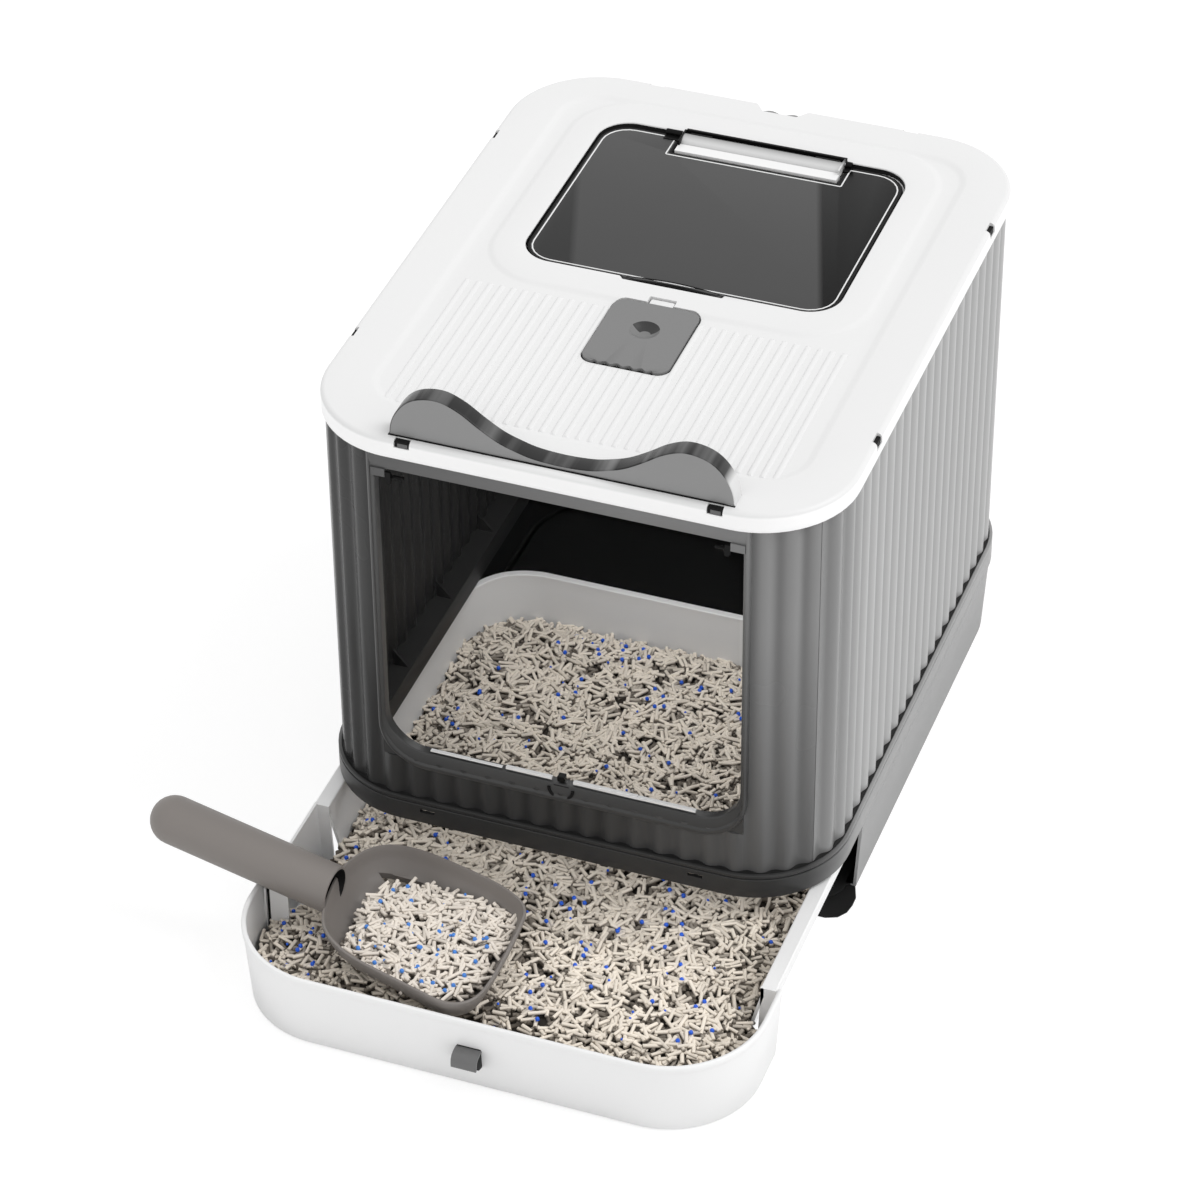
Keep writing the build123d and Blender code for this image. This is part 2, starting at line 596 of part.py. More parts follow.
# Deodoriser: lift-off cover with a finger dimple and a tab
cover_low = pocket_z + SEAT_GAP
cover_top = cover_low + COVER_THICK
cover = rounded(COVER_WIDTH, COVER_LENGTH, COVER_CORNER, cover_low, cover_top, y_mid=COVER_Y)
cover = cover + box(-COVER_TAB_HALF, COVER_TAB_HALF, COVER_Y, COVER_Y + COVER_LENGTH / 2 + COVER_TAB_REACH,
                    cover_low, cover_top - COVER_TAB_STEP)
dimple_low = cover_top - DIMPLE_DEPTH
ball_radius = (DIMPLE_RADIUS ** 2 + DIMPLE_DEPTH ** 2) / (2 * DIMPLE_DEPTH)
boss_height = DIMPLE_DEPTH + DIMPLE_WALL
dimple_y = COVER_Y + DIMPLE_OFFSET
cover = cover + (Pos(0, dimple_y, cover_top - boss_height / 2)
                 * Cylinder(DIMPLE_RADIUS + DIMPLE_WALL, boss_height))
cover = cover - (Pos(0, dimple_y, dimple_low + ball_radius) * Sphere(ball_radius))
save(cover, "deodoriser_cover")

# Deodoriser case under the lid, and the carbon block that lies in it
case_low = WALL_TOP - CASE_DEPTH
case_floor = case_low + CASE_WALL
case = rounded(case_width, case_length, CASE_CORNER, case_low, WALL_TOP, y_mid=COVER_Y)
case = case - rounded(case_width - 2 * CASE_WALL, case_length - 2 * CASE_WALL, CASE_CORNER - CASE_WALL,
                      case_floor, FAR, y_mid=COVER_Y)
for k in range(CASE_SLOTS):
    x = (k - (CASE_SLOTS - 1) / 2) * CASE_SLOT_PITCH
    case = case - box(x - CASE_SLOT_WIDTH / 2, x + CASE_SLOT_WIDTH / 2,
                      COVER_Y - case_length / 2 + CASE_SLOT_INSET, COVER_Y + case_length / 2 - CASE_SLOT_INSET,
                      case_low - CUT, case_floor + CUT)
save(case, "deodoriser_case")
block_inset = CASE_WALL + BLOCK_GAP
save(rounded(case_width - 2 * block_inset, case_length - 2 * block_inset, CASE_CORNER - CASE_WALL,
             case_floor, case_floor + BLOCK_HEIGHT, y_mid=COVER_Y), "deodoriser_block")

# Drawer front: curved fascia that closes the housing's front and corners
drawer_y = MID_Y - DRAWER_OUT
fascia_front = -DRAWER_OUT - FASCIA_PROUD
fascia_end = BASE_FRONT - RUN_GAP - DRAWER_OUT
fascia_outer = hanging(-FASCIA_PROUD, FASCIA_CORNER, DRAWER_TOP, FASCIA_LIFT, drawer_y, FASCIA_DRAFT)
fascia_inner = hanging(FASCIA_WALL - FASCIA_PROUD, FASCIA_CORNER, DRAWER_TOP, FASCIA_LIFT, drawer_y,
                       FASCIA_DRAFT)
fascia = (fascia_outer - fascia_inner) & box(-FAR, FAR, -FAR, fascia_end, 0, FAR)
foot = fascia_inner & box(-FAR, FAR, -FAR, fascia_front + FOOT_REACH, 0, DRAWER_FLOOR)
foot = foot - rounded(WIDTH - 2 * FOOT_INSET, DEPTH, FOOT_INSET, 0, FAR,
                      y_mid=fascia_front + FOOT_DEPTH + MID_Y)
save(fascia + foot, "drawer_front")

# Drawer tray: floor, side walls folded out to the fascia, and a raised rear rim
tray_half = WIDTH / 2 - TRAY_INSET
tray_end = DEPTH - TRAY_BACK_GAP - DRAWER_OUT
tray_front = TRAY_FRONT - DRAWER_OUT
tray_top = DRAWER_TOP - TRAY_RIM_DROP
tray_length = tray_end + DRAWER_OUT + TRAY_CORNER
tray_y = tray_end - tray_length / 2
side_end = tray_end - TRAY_CORNER
tray_block = rounded(2 * tray_half, tray_length, TRAY_CORNER, DRAWER_FLOOR, tray_top + REAR_RIM_RISE,
                     y_mid=tray_y)
tray_space = rounded(2 * (tray_half - TRAY_WALL), tray_length - 2 * TRAY_WALL, TRAY_CORNER - TRAY_WALL,
                     TRAY_INSIDE, FAR, y_mid=tray_y)
tray = (tray_block - tray_space) & box(-FAR, FAR, tray_front, FAR, 0, FAR)
front_floor = box(-FAR, FAR, -FAR, tray_front + TRAY_WALL, DRAWER_FLOOR, TRAY_INSIDE)
tray = tray + (fascia_inner & front_floor)
tray = tray - box(-FAR, FAR, -FAR, side_end, tray_top, FAR)
lip_low = tray_top - FLANGE_DROP
flange_half = (WIDTH / 2 - BASE_INSET - BASE_WALL - FLANGE_GAP
               - (BASE_TOP - lip_low) * math.tan(math.radians(BASE_DRAFT)))
fold_face = box(-FAR, FAR, tray_front, tray_front + TRAY_WALL, DRAWER_FLOOR, tray_top) & fascia_inner
tray = tray + (fold_face - tray_space)
for side in (-1, 1):
    tray = tray - box(side * REAR_RIM_HALF, side * FAR, -FAR, FAR, tray_top, FAR)
    tray = tray + box(side * (tray_half - FLANGE_LAP), side * flange_half, fascia_end + SEAT_GAP, side_end,
                      tray_top - FLANGE_THICK, tray_top)
    tray = tray + box(side * (flange_half - FLANGE_THICK), side * flange_half, fascia_end + SEAT_GAP, side_end,
                      lip_low, tray_top - FLANGE_LAP)
save(tray, "drawer_tray")

# Pull tab: curved plate on the drawer front
lean = math.tan(math.radians(FASCIA_DRAFT))
face_top = fascia_front + (DRAWER_TOP - TAB_TOP) * lean + SEAT_GAP
face_foot = fascia_front + (DRAWER_TOP - TAB_FOOT) * lean + SEAT_GAP
tab_mid = (TAB_TOP + TAB_FOOT) / 2
with BuildPart() as tab:
    with BuildSketch(Plane.YZ.offset(-TAB_HALF)):
        with BuildLine():
            ThreePointArc((face_top, TAB_TOP), (face_top - TAB_BULGE, tab_mid), (face_foot, TAB_FOOT))
            Line((face_foot, TAB_FOOT), (face_foot, TAB_FOOT + TAB_THICK))
            ThreePointArc((face_foot, TAB_FOOT + TAB_THICK), (face_top - TAB_BULGE + TAB_THICK, tab_mid),
                          (face_top, TAB_TOP - TAB_THICK))
            Line((face_top, TAB_TOP - TAB_THICK), (face_top, TAB_TOP))
        make_face()
    extrude(amount=2 * TAB_HALF)
save(tab.part - fascia_outer, "drawer_pull_tab")

# Litter in the drawer, as one plain solid
litter_inset = TRAY_WALL + LITTER_GAP
litter = rounded(2 * (tray_half - litter_inset), tray_length - 2 * litter_inset, TRAY_CORNER - litter_inset,
                 TRAY_INSIDE, LITTER_TOP, y_mid=tray_y)
litter_front = hanging(FASCIA_WALL - FASCIA_PROUD + LITTER_GAP, FASCIA_CORNER, DRAWER_TOP, FASCIA_LIFT,
                       drawer_y, FASCIA_DRAFT)
save(litter & (box(-FAR, FAR, tray_front + TRAY_WALL, FAR, 0, FAR) + litter_front), "litter_bed")

# Scoop: open bowl with slots, and a hollow round handle
root_x = -WIDTH / 2 + SCOOP_X
root_y = -DRAWER_OUT + SCOOP_Y
scoop_low = LITTER_TOP + SCOOP_ABOVE_LITTER
scoop_floor = scoop_low + SCOOP_WALL
scoop_hip = scoop_low + SCOOP_HIP
scoop_rim = scoop_low + SCOOP_DEPTH
middle_x = sum(p[0] for p in RIM) / len(RIM)
middle_y = sum(p[1] for p in RIM) / len(RIM)


def bowl_ring(inset, z):
    """Bowl outline drawn inwards by the given distance, at one height."""
    points = []
    for x, y in RIM:
        k = 1 - inset / math.hypot(x - middle_x, y - middle_y)
        points.append((root_x + middle_x + (x - middle_x) * k, root_y + middle_y + (y - middle_y) * k))
    with BuildSketch(Plane.XY.offset(z)) as ring_sketch:
        with BuildLine():
            Spline(*points, periodic=True)
        make_face()
    return ring_sketch.sketch


bowl = loft([bowl_ring(SCOOP_FOOT_INSET, scoop_low), bowl_ring(SCOOP_FLARE, scoop_hip),
             bowl_ring(0, scoop_rim)])
hollow = loft([bowl_ring(SCOOP_FOOT_INSET + SCOOP_WALL, scoop_floor),
               bowl_ring(SCOOP_FLARE + SCOOP_WALL, scoop_hip + SCOOP_WALL / 2),
               bowl_ring(SCOOP_WALL, scoop_rim + CUT)])
root = Vector(root_x, root_y, scoop_rim + HANDLE_RISE)
end = root + Vector(*HANDLE)
grip_plane = Plane(origin=root, z_dir=end - root)
grip_length = (end - root).length
inner_radius = HANDLE_RADIUS - HANDLE_WALL
grip = grip_plane * (Pos(0, 0, grip_length / 2) * Cylinder(HANDLE_RADIUS, grip_length))
grip = grip + Pos(end.X, end.Y, end.Z) * Sphere(HANDLE_RADIUS)
bore = grip_plane * (Pos(0, 0, (grip_length - HANDLE_RADIUS) / 2)
                     * Cylinder(inner_radius, grip_length + HANDLE_RADIUS))
bore = bore + Pos(end.X, end.Y, end.Z) * Sphere(inner_radius)
scoop = (bowl - hollow) + (grip - bore - bowl)
for k in range(SCOOP_SLOTS):
    y = root_y + middle_y + (k - (SCOOP_SLOTS - 1) / 2) * SCOOP_SLOT_PITCH
    scoop = scoop - box(root_x + SCOOP_SLOT_START, root_x + SCOOP_SLOT_END, y - SCOOP_SLOT_WIDTH / 2,
                        y + SCOOP_SLOT_WIDTH / 2, scoop_low - CUT, scoop_floor + CUT)
save(scoop, "scoop")

# Litter lying in the scoop, as one plain heap
heap_foot = SCOOP_FOOT_INSET + HEAP_GAP
heap = loft([bowl_ring(heap_foot, scoop_floor), bowl_ring(heap_foot, scoop_hip),
             bowl_ring(heap_foot + HEAP_SLOPE, scoop_floor + HEAP_HEIGHT)])
save(heap - box(-FAR, root_x + HEAP_START, -FAR, FAR, 0, FAR), "scoop_litter")
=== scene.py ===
"""Covered litter box with its drawer pulled out and a scoop lying in the litter.

Lengths are millimetres until a mesh is made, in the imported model's frame: X right, Y back, Z up, with the
origin under the middle of the base. Depths called "from the front" count from the housing's front face.
"""

import math

import bmesh
import bpy
import numpy as np
from mathutils import Matrix, Vector
from mathutils.geometry import delaunay_2d_cdt


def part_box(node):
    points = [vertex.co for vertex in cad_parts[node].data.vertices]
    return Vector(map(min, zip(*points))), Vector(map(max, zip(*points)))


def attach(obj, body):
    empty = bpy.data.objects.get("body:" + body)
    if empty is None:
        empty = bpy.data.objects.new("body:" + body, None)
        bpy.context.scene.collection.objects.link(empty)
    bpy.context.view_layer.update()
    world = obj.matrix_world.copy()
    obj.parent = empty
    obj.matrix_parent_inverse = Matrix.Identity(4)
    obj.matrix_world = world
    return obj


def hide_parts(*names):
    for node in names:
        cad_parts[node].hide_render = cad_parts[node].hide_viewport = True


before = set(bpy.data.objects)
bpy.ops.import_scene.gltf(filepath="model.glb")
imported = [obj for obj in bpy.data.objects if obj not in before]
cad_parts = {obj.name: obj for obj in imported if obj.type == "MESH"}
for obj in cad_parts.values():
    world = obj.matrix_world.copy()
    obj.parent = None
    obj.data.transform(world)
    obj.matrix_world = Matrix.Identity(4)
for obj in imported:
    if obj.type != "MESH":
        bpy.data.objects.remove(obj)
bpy.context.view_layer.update()        # the imported parts, now in the model's frame

# The camera: a long lens, high and a little to the right of the drawer, as in the photograph
CAMERA_AZIMUTH = math.radians(21.15)
CAMERA_ELEVATION = math.radians(37.61)
CAMERA_ROLL = math.radians(-1.018)
CAMERA_PLACE = Vector((0.9257, -2.6567, 2.3237))
CAMERA_LENS = 135.0
CAMERA_SENSOR = 36.0
CAMERA_SHIFT = (0.0383, -0.0293)
CAMERA_REACH = 50.0


def put(name, data):
    """Make the object that holds some data, and put it in the scene."""
    thing = bpy.data.objects.new(name, data)
    bpy.context.scene.collection.objects.link(thing)
    return thing


backward = Vector((math.sin(CAMERA_AZIMUTH) * math.cos(CAMERA_ELEVATION),
                   -math.cos(CAMERA_AZIMUTH) * math.cos(CAMERA_ELEVATION), math.sin(CAMERA_ELEVATION)))
level = Vector((math.cos(CAMERA_AZIMUTH), math.sin(CAMERA_AZIMUTH), 0))
upright = backward.cross(level)
right = math.cos(CAMERA_ROLL) * level + math.sin(CAMERA_ROLL) * upright
upward = math.cos(CAMERA_ROLL) * upright - math.sin(CAMERA_ROLL) * level
camera = put("camera", bpy.data.cameras.new("camera"))
camera.data.lens = CAMERA_LENS
camera.data.sensor_width = CAMERA_SENSOR
camera.data.shift_x, camera.data.shift_y = CAMERA_SHIFT
camera.data.clip_end = CAMERA_REACH
camera_turn = Matrix((right, upward, backward)).transposed().to_4x4()
camera.matrix_world = Matrix.Translation(CAMERA_PLACE) @ camera_turn
bpy.context.scene.camera = camera
bpy.context.scene.view_settings.view_transform = "Standard"


# The floor and the light: a white table in an evenly lit white room, with one broad lamp at the
# right and a small one under the lid that opens up the dark of the cabin
def join(tree, place, value):
    """Give a node's socket a plain value, or link it to what another node gives."""
    if isinstance(value, Value):
        tree.links.new(value.socket, place)
    else:
        place.default_value = value


class Value:
    """A number in a shader, on which an arithmetic expression adds its Math nodes."""

    def __init__(self, tree, socket):
        self.tree, self.socket = tree, socket

    def math(self, operation, other):
        node = self.tree.nodes.new("ShaderNodeMath")
        node.operation = operation
        join(self.tree, node.inputs[0], self)
        join(self.tree, node.inputs[1], other)
        return Value(self.tree, node.outputs[0])

    def __add__(self, other):
        return self.math("ADD", other)

    def __mul__(self, other):
        return self.math("MULTIPLY", other)

    __radd__, __rmul__ = __add__, __mul__


class Nodes:
    """A node tree. add makes any node: its settings first, then its inputs. blend mixes two colours."""

    def __init__(self, tree):
        self.tree = tree
        tree.nodes.clear()

    def add(self, kind, settings=None, output=0, **inputs):
        node = self.tree.nodes.new("ShaderNode" + kind)
        for name, value in (settings or {}).items():
            setattr(node, name, value)
        for name, value in inputs.items():
            place = int(name[1:]) if name[1:].isdigit() else name.replace("_", " ")
            join(self.tree, node.inputs[place], value)
        return Value(self.tree, node.outputs[output]) if node.outputs else None

    def blend(self, share, first, second):
        first, second = (c if isinstance(c, Value) else (*c, 1) for c in (first, second))
        return self.add("Mix", {"data_type": "RGBA"}, 2, Factor=share, _6=first, _7=second)


ROOM_LIGHT = 0.86
LAMP_STRENGTH = 1.0
LAMP_ANGLE = math.radians(30)
LAMP_DIRECTION = Vector((0.60, 0.15, 0.78))
CABIN_STRENGTH = 0.66
CABIN_SIZE = (0.24, 0.12)
CABIN_PLACE = (0.0, -0.06, 0.378)
CABIN_TILT = math.radians(20)
FLOOR_HALF = 4.0
FLOOR_DROP = 0.0003
FLOOR_WHITE = 0.92
FLOOR_GLOW = 1.2
FLOOR_GLOW_SHARE = 0.6

world = bpy.data.worlds.new("white room")
world.use_nodes = True
room = Nodes(world.node_tree)
rays = [room.add("LightPath", output=f"Is {kind} Ray") for kind in ("Camera", "Glossy", "Transmission")]
seen = rays[0].math("MAXIMUM", rays[1]).math("MAXIMUM", rays[2])
background = room.add("Background", Color=(1, 1, 1, 1), Strength=seen * (1 - ROOM_LIGHT) + ROOM_LIGHT)
room.add("OutputWorld", Surface=background)
bpy.context.scene.world = world

lamp = put("lamp", bpy.data.lights.new("lamp", "SUN"))
lamp.data.energy, lamp.data.angle = LAMP_STRENGTH, LAMP_ANGLE
lamp.rotation_euler = LAMP_DIRECTION.to_track_quat("Z", "Y").to_euler()

cabin_lamp = put("cabin lamp", bpy.data.lights.new("cabin lamp", "AREA"))
cabin_lamp.data.shape, cabin_lamp.data.energy = "RECTANGLE", CABIN_STRENGTH
cabin_lamp.data.size, cabin_lamp.data.size_y = CABIN_SIZE
cabin_lamp.location = CABIN_PLACE
cabin_lamp.rotation_euler = (CABIN_TILT, 0, 0)
cabin_lamp.visible_camera = False

table = bpy.data.materials.new("white table")
table.use_nodes = True
sheet = Nodes(table.node_tree)
lit = sheet.add("BsdfDiffuse", Color=(FLOOR_WHITE, FLOOR_WHITE, FLOOR_WHITE, 1))
glow = sheet.add("Emission", Color=(1, 1, 1, 1), Strength=FLOOR_GLOW)
looked_at = sheet.add("LightPath", output="Is Camera Ray")
shade = sheet.add("MixShader", _0=looked_at * FLOOR_GLOW_SHARE, _1=lit, _2=glow)
sheet.add("OutputMaterial", Surface=shade)
floor_corners = [(x * FLOOR_HALF, y * FLOOR_HALF, -FLOOR_DROP)
                 for x, y in ((-1, -1), (1, -1), (1, 1), (-1, 1))]
floor_mesh = bpy.data.meshes.new("floor")
floor_mesh.from_pydata(floor_corners, [], [(0, 1, 2, 3)])
floor_mesh.materials.append(table)
floor = put("floor", floor_mesh)


# Base shell: the grey tub that everything stands on, injection moulded in polypropylene, with side and rear
# skirts that lean in towards the floor and a flat floor that runs out under the drawer at the front. The
# skirts' inner faces, the floor and the apron are painted near-black for the shade that falls on them.
MM = 0.001
MERGE_REACH = 2e-6
CORNER = 74.0
ARC_STEPS = 16
ROUND_STEPS = 4
CLOUD_SCALE = 9.0
SKIN_SCALE = 700.0
SKIN_STRENGTH = 0.25
GLOSS_SPREAD = 0.03
COAT_ROUGH = 0.12


def span(node):
    """A CAD node's lowest and highest corners, in millimetres."""
    return [np.array(corner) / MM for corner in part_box(node)]


(_, FRONT, SKIRT_LOW), (HALF, BACK, TOP) = span("lid")
BASE_TOP = span("base_shell")[1][2]


def knots(half, front, back, corner):
    """Lengths along a rounded rectangle, from the middle of its front, at which its arcs begin and end."""
    side, bend, run = half - corner, corner * math.pi / 2, back - front - 2 * corner
    return np.concatenate([[0], np.cumsum([side, bend, run, bend, 2 * side, bend, run, bend, side])])


def outline(s, half, front, back, corner):
    """Rounded rectangle by length: the core point that each arc turns about, and the outward direction.

    Both change steadily with length: the core point along the straight sides, and the direction, from
    straight ahead through a quarter turn at each corner. A point at an offset is core + (corner + offset)
    times the direction.
    """
    at = knots(half, front, back, corner)
    s = np.mod(s, at[-1])
    side, near, far = half - corner, front + corner, back - corner
    x = np.interp(s, at, [0, side, side, side, side, -side, -side, -side, -side, 0])
    y = np.interp(s, at, [near, near, near, far, far, far, far, near, near, near])
    turn = np.radians(np.interp(s, at, [-90, -90, 0, 0, 90, 90, 180, 180, 270, 270]))
    return np.stack([x, y], -1), np.stack([np.cos(turn), np.sin(turn)], -1)


def stations(half, front, back, corner, arc=ARC_STEPS):
    """Lengths for one closed round: the ends of the straight sides, and steps round each corner."""
    at = knots(half, front, back, corner)
    return np.concatenate([np.linspace(at[k], at[k + 1], arc + 1) for k in (1, 3, 5, 7)])


def drawn(s, spot, offset):
    """Points at some lengths along a rounded rectangle, drawn outwards by an offset."""
    core, out = outline(s, *spot)
    return core + (spot[3] + offset) * out


def lifted(flat, z):
    """Flat points with their height: one for them all, or one for each."""
    return np.concatenate([flat, np.broadcast_to(np.reshape(z, (-1, 1)), (len(flat), 1))], 1)


def ring_points(half, front, back, corner, z=0.0, offset=0.0, arc=ARC_STEPS):
    """One closed loop of a rounded rectangle at a height, drawn outwards by an offset."""
    spot = (half, front, back, corner)
    return lifted(drawn(stations(*spot, arc), spot, offset), z)


def rounds(spot, offsets, arc=ARC_STEPS):
    """Several loops of one rounded rectangle, one for each offset."""
    return [ring_points(*spot, offset=offset, arc=arc) for offset in offsets]


def swept(section, core, out, corner):
    """A section of (offset, height) pairs carried along an outline: one closed loop at each place."""
    offset, height = np.array(section, float).T
    flat = core[:, None] + (corner + offset)[None, :, None] * out[:, None]
    tall = np.broadcast_to(height[None, :, None], flat.shape[:2] + (1,))
    return np.concatenate([flat, tall], 2)


def tube(loops, joined=False):
    """Skin over a row of closed loops, (loops, points, 3): ends are closed flat, or joined to each other."""
    rows, count = loops.shape[:2]
    index = np.arange(rows * count).reshape(rows, count)
    index = np.concatenate([index, index[:, :1]], 1)
    if joined:
        index = np.concatenate([index, index[:1]])
    faces = [np.stack([index[:-1, :-1], index[1:, :-1], index[1:, 1:], index[:-1, 1:]], -1).reshape(-1, 4)]
    if not joined:
        faces += [index[:1, :-1], index[-1:, :-1][:, ::-1]]
    return loops.reshape(-1, 3), faces


def shell(outer, inner, keep=None, joined=False):
    """Closed sheet between two grids of points, (places, rows, 3), without the cells that keep leaves out.

    A kept cell has a face on each grid, and a wall across the sheet on every side that no kept cell shares.
    """
    places, rows = outer.shape[:2]
    if keep is None:
        keep = np.ones((places if joined else places - 1, rows - 1), bool)
    index = np.arange(places * rows).reshape(places, rows)
    if joined:
        index = np.concatenate([index, index[:1]])
    a, b, c, d = index[:-1, :-1], index[1:, :-1], index[1:, 1:], index[:-1, 1:]
    across = places * rows
    cells = np.stack([a, b, c, d], -1)[keep]
    faces = [cells, cells[:, ::-1] + across]
    before, after = np.roll(keep, 1, 0), np.roll(keep, -1, 0)
    below, above = np.roll(keep, 1, 1), np.roll(keep, -1, 1)
    if not joined:
        before[0], after[-1] = False, False
    below[:, 0], above[:, -1] = False, False
    for neighbour, p, q in ((before, a, d), (after, c, b), (below, b, a), (above, d, c)):
        edge = keep & ~neighbour
        faces.append(np.stack([p[edge], q[edge], q[edge] + across, p[edge] + across], -1))
    return np.concatenate([outer.reshape(-1, 3), inner.reshape(-1, 3)]), faces


def piece(name, parts, finishes, body, node, smooth=42, bevel=0.0, merge=True, tints=None):
    """Make one object from (points, faces) parts, in millimetres, and attach it to its body.

    It replaces one CAD node. Faces are sets of rows of one length. A part may carry a third item: the place
    of its finish in the list, or a list with the place for each of its sets of faces. tints, one for each
    point, become its tint attribute.
    """
    points, runs, kinds, first = [], [], [], 0
    for part in parts:
        points.append(part[0])
        kind = part[2] if len(part) > 2 else 0
        for rows, number in zip(part[1], kind if isinstance(kind, list) else [kind] * len(part[1])):
            if len(rows):
                runs.append(np.asarray(rows) + first)
                kinds.append(np.full(len(rows), number))
        first += len(part[0])
    mesh = bpy.data.meshes.new(name)
    mesh.vertices.add(first)
    mesh.vertices.foreach_set("co", (np.concatenate(points) * MM).ravel())
    corners = np.concatenate([rows.ravel() for rows in runs])
    lengths = np.concatenate([np.full(len(rows), rows.shape[1]) for rows in runs])
    mesh.loops.add(len(corners))
    mesh.loops.foreach_set("vertex_index", corners)
    mesh.polygons.add(len(lengths))
    mesh.polygons.foreach_set("loop_start", np.cumsum(lengths) - lengths)
    mesh.polygons.foreach_set("material_index", np.concatenate(kinds))
    mesh.update(calc_edges=True)
    mesh.validate()
    for finish in finishes:
        mesh.materials.append(finish)
    if merge:
        work = bmesh.new()
        work.from_mesh(mesh)
        bmesh.ops.remove_doubles(work, verts=work.verts, dist=MERGE_REACH)
        bmesh.ops.recalc_face_normals(work, faces=work.faces)
        work.to_mesh(mesh)
        work.free()
    mesh.shade_smooth()
    mesh.set_sharp_from_angle(angle=math.radians(smooth))
    if tints is not None:
        layer = mesh.attributes.new("tint", "FLOAT", "POINT")
        layer.data.foreach_set("value", np.asarray(tints, np.float32))
    thing = put(name, mesh)
    if bevel:
        edge = thing.modifiers.new("edges", "BEVEL")
        edge.width, edge.segments, edge.limit_method = bevel * MM, 2, "ANGLE"
        edge.angle_limit = math.radians(smooth)
        edge.harden_normals = True
    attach(thing, body)
    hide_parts(node)


def finish_nodes(name):
    """A new material, its nodes, and each point's place on the object."""
    material = bpy.data.materials.new(name)
    material.use_nodes = True
    nodes = Nodes(material.node_tree)
    return material, nodes, nodes.add("TexCoord", output="Object")


def moulded(name, colour, rough, grain=0.00012, mottle=0.05, deep=0.72, stretch=(1, 1, 1), coat=0.0,
            shine=0.4, dim=None, fades=(), metal=0.0):
    """Moulded plastic: a colour with faint clouding, uneven gloss and the skin of a polished mould.

    dim is the colour where the piece's tint attribute is 0; on the walls the tint paints shade into the wave
    valleys. Each fade is (axis, start, end, colour): along that axis, in millimetres, what came before turns
    into that colour. The fades paint light and shade onto the pieces.
    """
    material, nodes, where = finish_nodes(name)
    stretched = nodes.add("Mapping", Vector=where, Scale=stretch)
    cloud = nodes.add("TexNoise", Vector=stretched, Scale=CLOUD_SCALE, Detail=2.0)
    fine = nodes.add("TexNoise", Vector=where, Scale=SKIN_SCALE, Detail=2.0)
    base = nodes.blend(cloud * mottle * 2, colour, tuple(c * deep for c in colour))
    if dim:
        base = nodes.blend(nodes.add("Attribute", {"attribute_name": "tint"}, 2), dim, base)
    for axis, start, end, other in fades:
        place = nodes.add("SeparateXYZ", output=axis, Vector=where)
        share = nodes.add("MapRange", Value=place, From_Min=start * MM, From_Max=end * MM)
        base = nodes.blend(share, base, other)
    bump = nodes.add("Bump", Height=fine, Strength=SKIN_STRENGTH, Distance=grain)
    shader = nodes.add("BsdfPrincipled", Base_Color=base, Normal=bump, Metallic=metal,
                       Roughness=cloud * GLOSS_SPREAD + (rough - GLOSS_SPREAD / 2),
                       Specular_IOR_Level=shine, Coat_Weight=coat, Coat_Roughness=COAT_ROUGH)
    nodes.add("OutputMaterial", Surface=shader)
    return material


def grey(level):
    """A neutral colour."""
    return (level, level, level)


def lined(skin, count, places):
    """Give the faces at certain places of a tube's section the second finish, as for its inner side."""
    points, (sides, *caps) = skin
    chosen = np.isin(np.arange(len(sides)) % count, places)
    return points, [sides[~chosen], sides[chosen], *caps], [0, 1] + [0] * len(caps)


SKIRT_WALL = 2.5
SKIRT_LEAN = math.tan(math.radians(3.4))
SKIRT_FRONT = 113.5
SKIRT_SET = 0.5
FLOOR_THICK = 2.5
TONGUE = 25.0
TONGUE_HALF = 193.0
TONGUE_CORNER = 22.0
APRON = [(189.0, 71.7), (198.0, 75.5), (203.0, 83.0), (204.6, 92.0), (204.6, 101.0), (200.0, 114.0),
         (194.0, 114.0)]
APRON_THICK = 0.9
FOOT_ROUND = 1.2
FOOT_INSIDE = 6.0

base_plastic = moulded("base plastic", grey(0.295), 0.42, coat=0.1)
# Near-black painted shade: it stands in for deep shade inside the base, in gaps, slits and bores, and under
# overhangs.
painted_shade = moulded("shaded inside", grey(0.012), 0.5, shine=0.08)
housing_spot = (HALF, FRONT, BACK, CORNER)
housing_at = knots(*housing_spot)
housing_s = stations(*housing_spot)
skirt_start = housing_at[2] + SKIRT_FRONT - CORNER
skirt_s = np.concatenate([[skirt_start], housing_s[ARC_STEPS + 1:3 * ARC_STEPS + 3],
                          [housing_at[-1] - skirt_start]])
foot = -SKIRT_SET - BASE_TOP * SKIRT_LEAN
skirt_section = [(-SKIRT_SET, BASE_TOP), (foot + FOOT_ROUND * SKIRT_LEAN, FOOT_ROUND), (foot - 0.35, 0.35),
                 (foot - FOOT_ROUND, 0), (foot - SKIRT_WALL - FOOT_INSIDE, 0),
                 (foot - SKIRT_WALL - FOOT_INSIDE, FLOOR_THICK),
                 (foot - SKIRT_WALL + FLOOR_THICK * SKIRT_LEAN, FLOOR_THICK),
                 (-SKIRT_SET - SKIRT_WALL, BASE_TOP)]
core, out = outline(skirt_s, *housing_spot)
skirt = lined(tube(swept(skirt_section, core, out, CORNER)), len(skirt_section), [4, 5, 6])
floor_loop = drawn(skirt_s, housing_spot, foot - 4)
tongue_front = FRONT + SKIRT_FRONT - TONGUE
bend = np.radians(np.linspace(180, 270, 9))
left_bend = np.stack([-TONGUE_HALF + TONGUE_CORNER * (1 + np.cos(bend)),
                      tongue_front + TONGUE_CORNER * (1 + np.sin(bend))], -1)
right_bend = left_bend[::-1] * (-1, 1)
floor_line = np.concatenate([floor_loop, left_bend, right_bend])


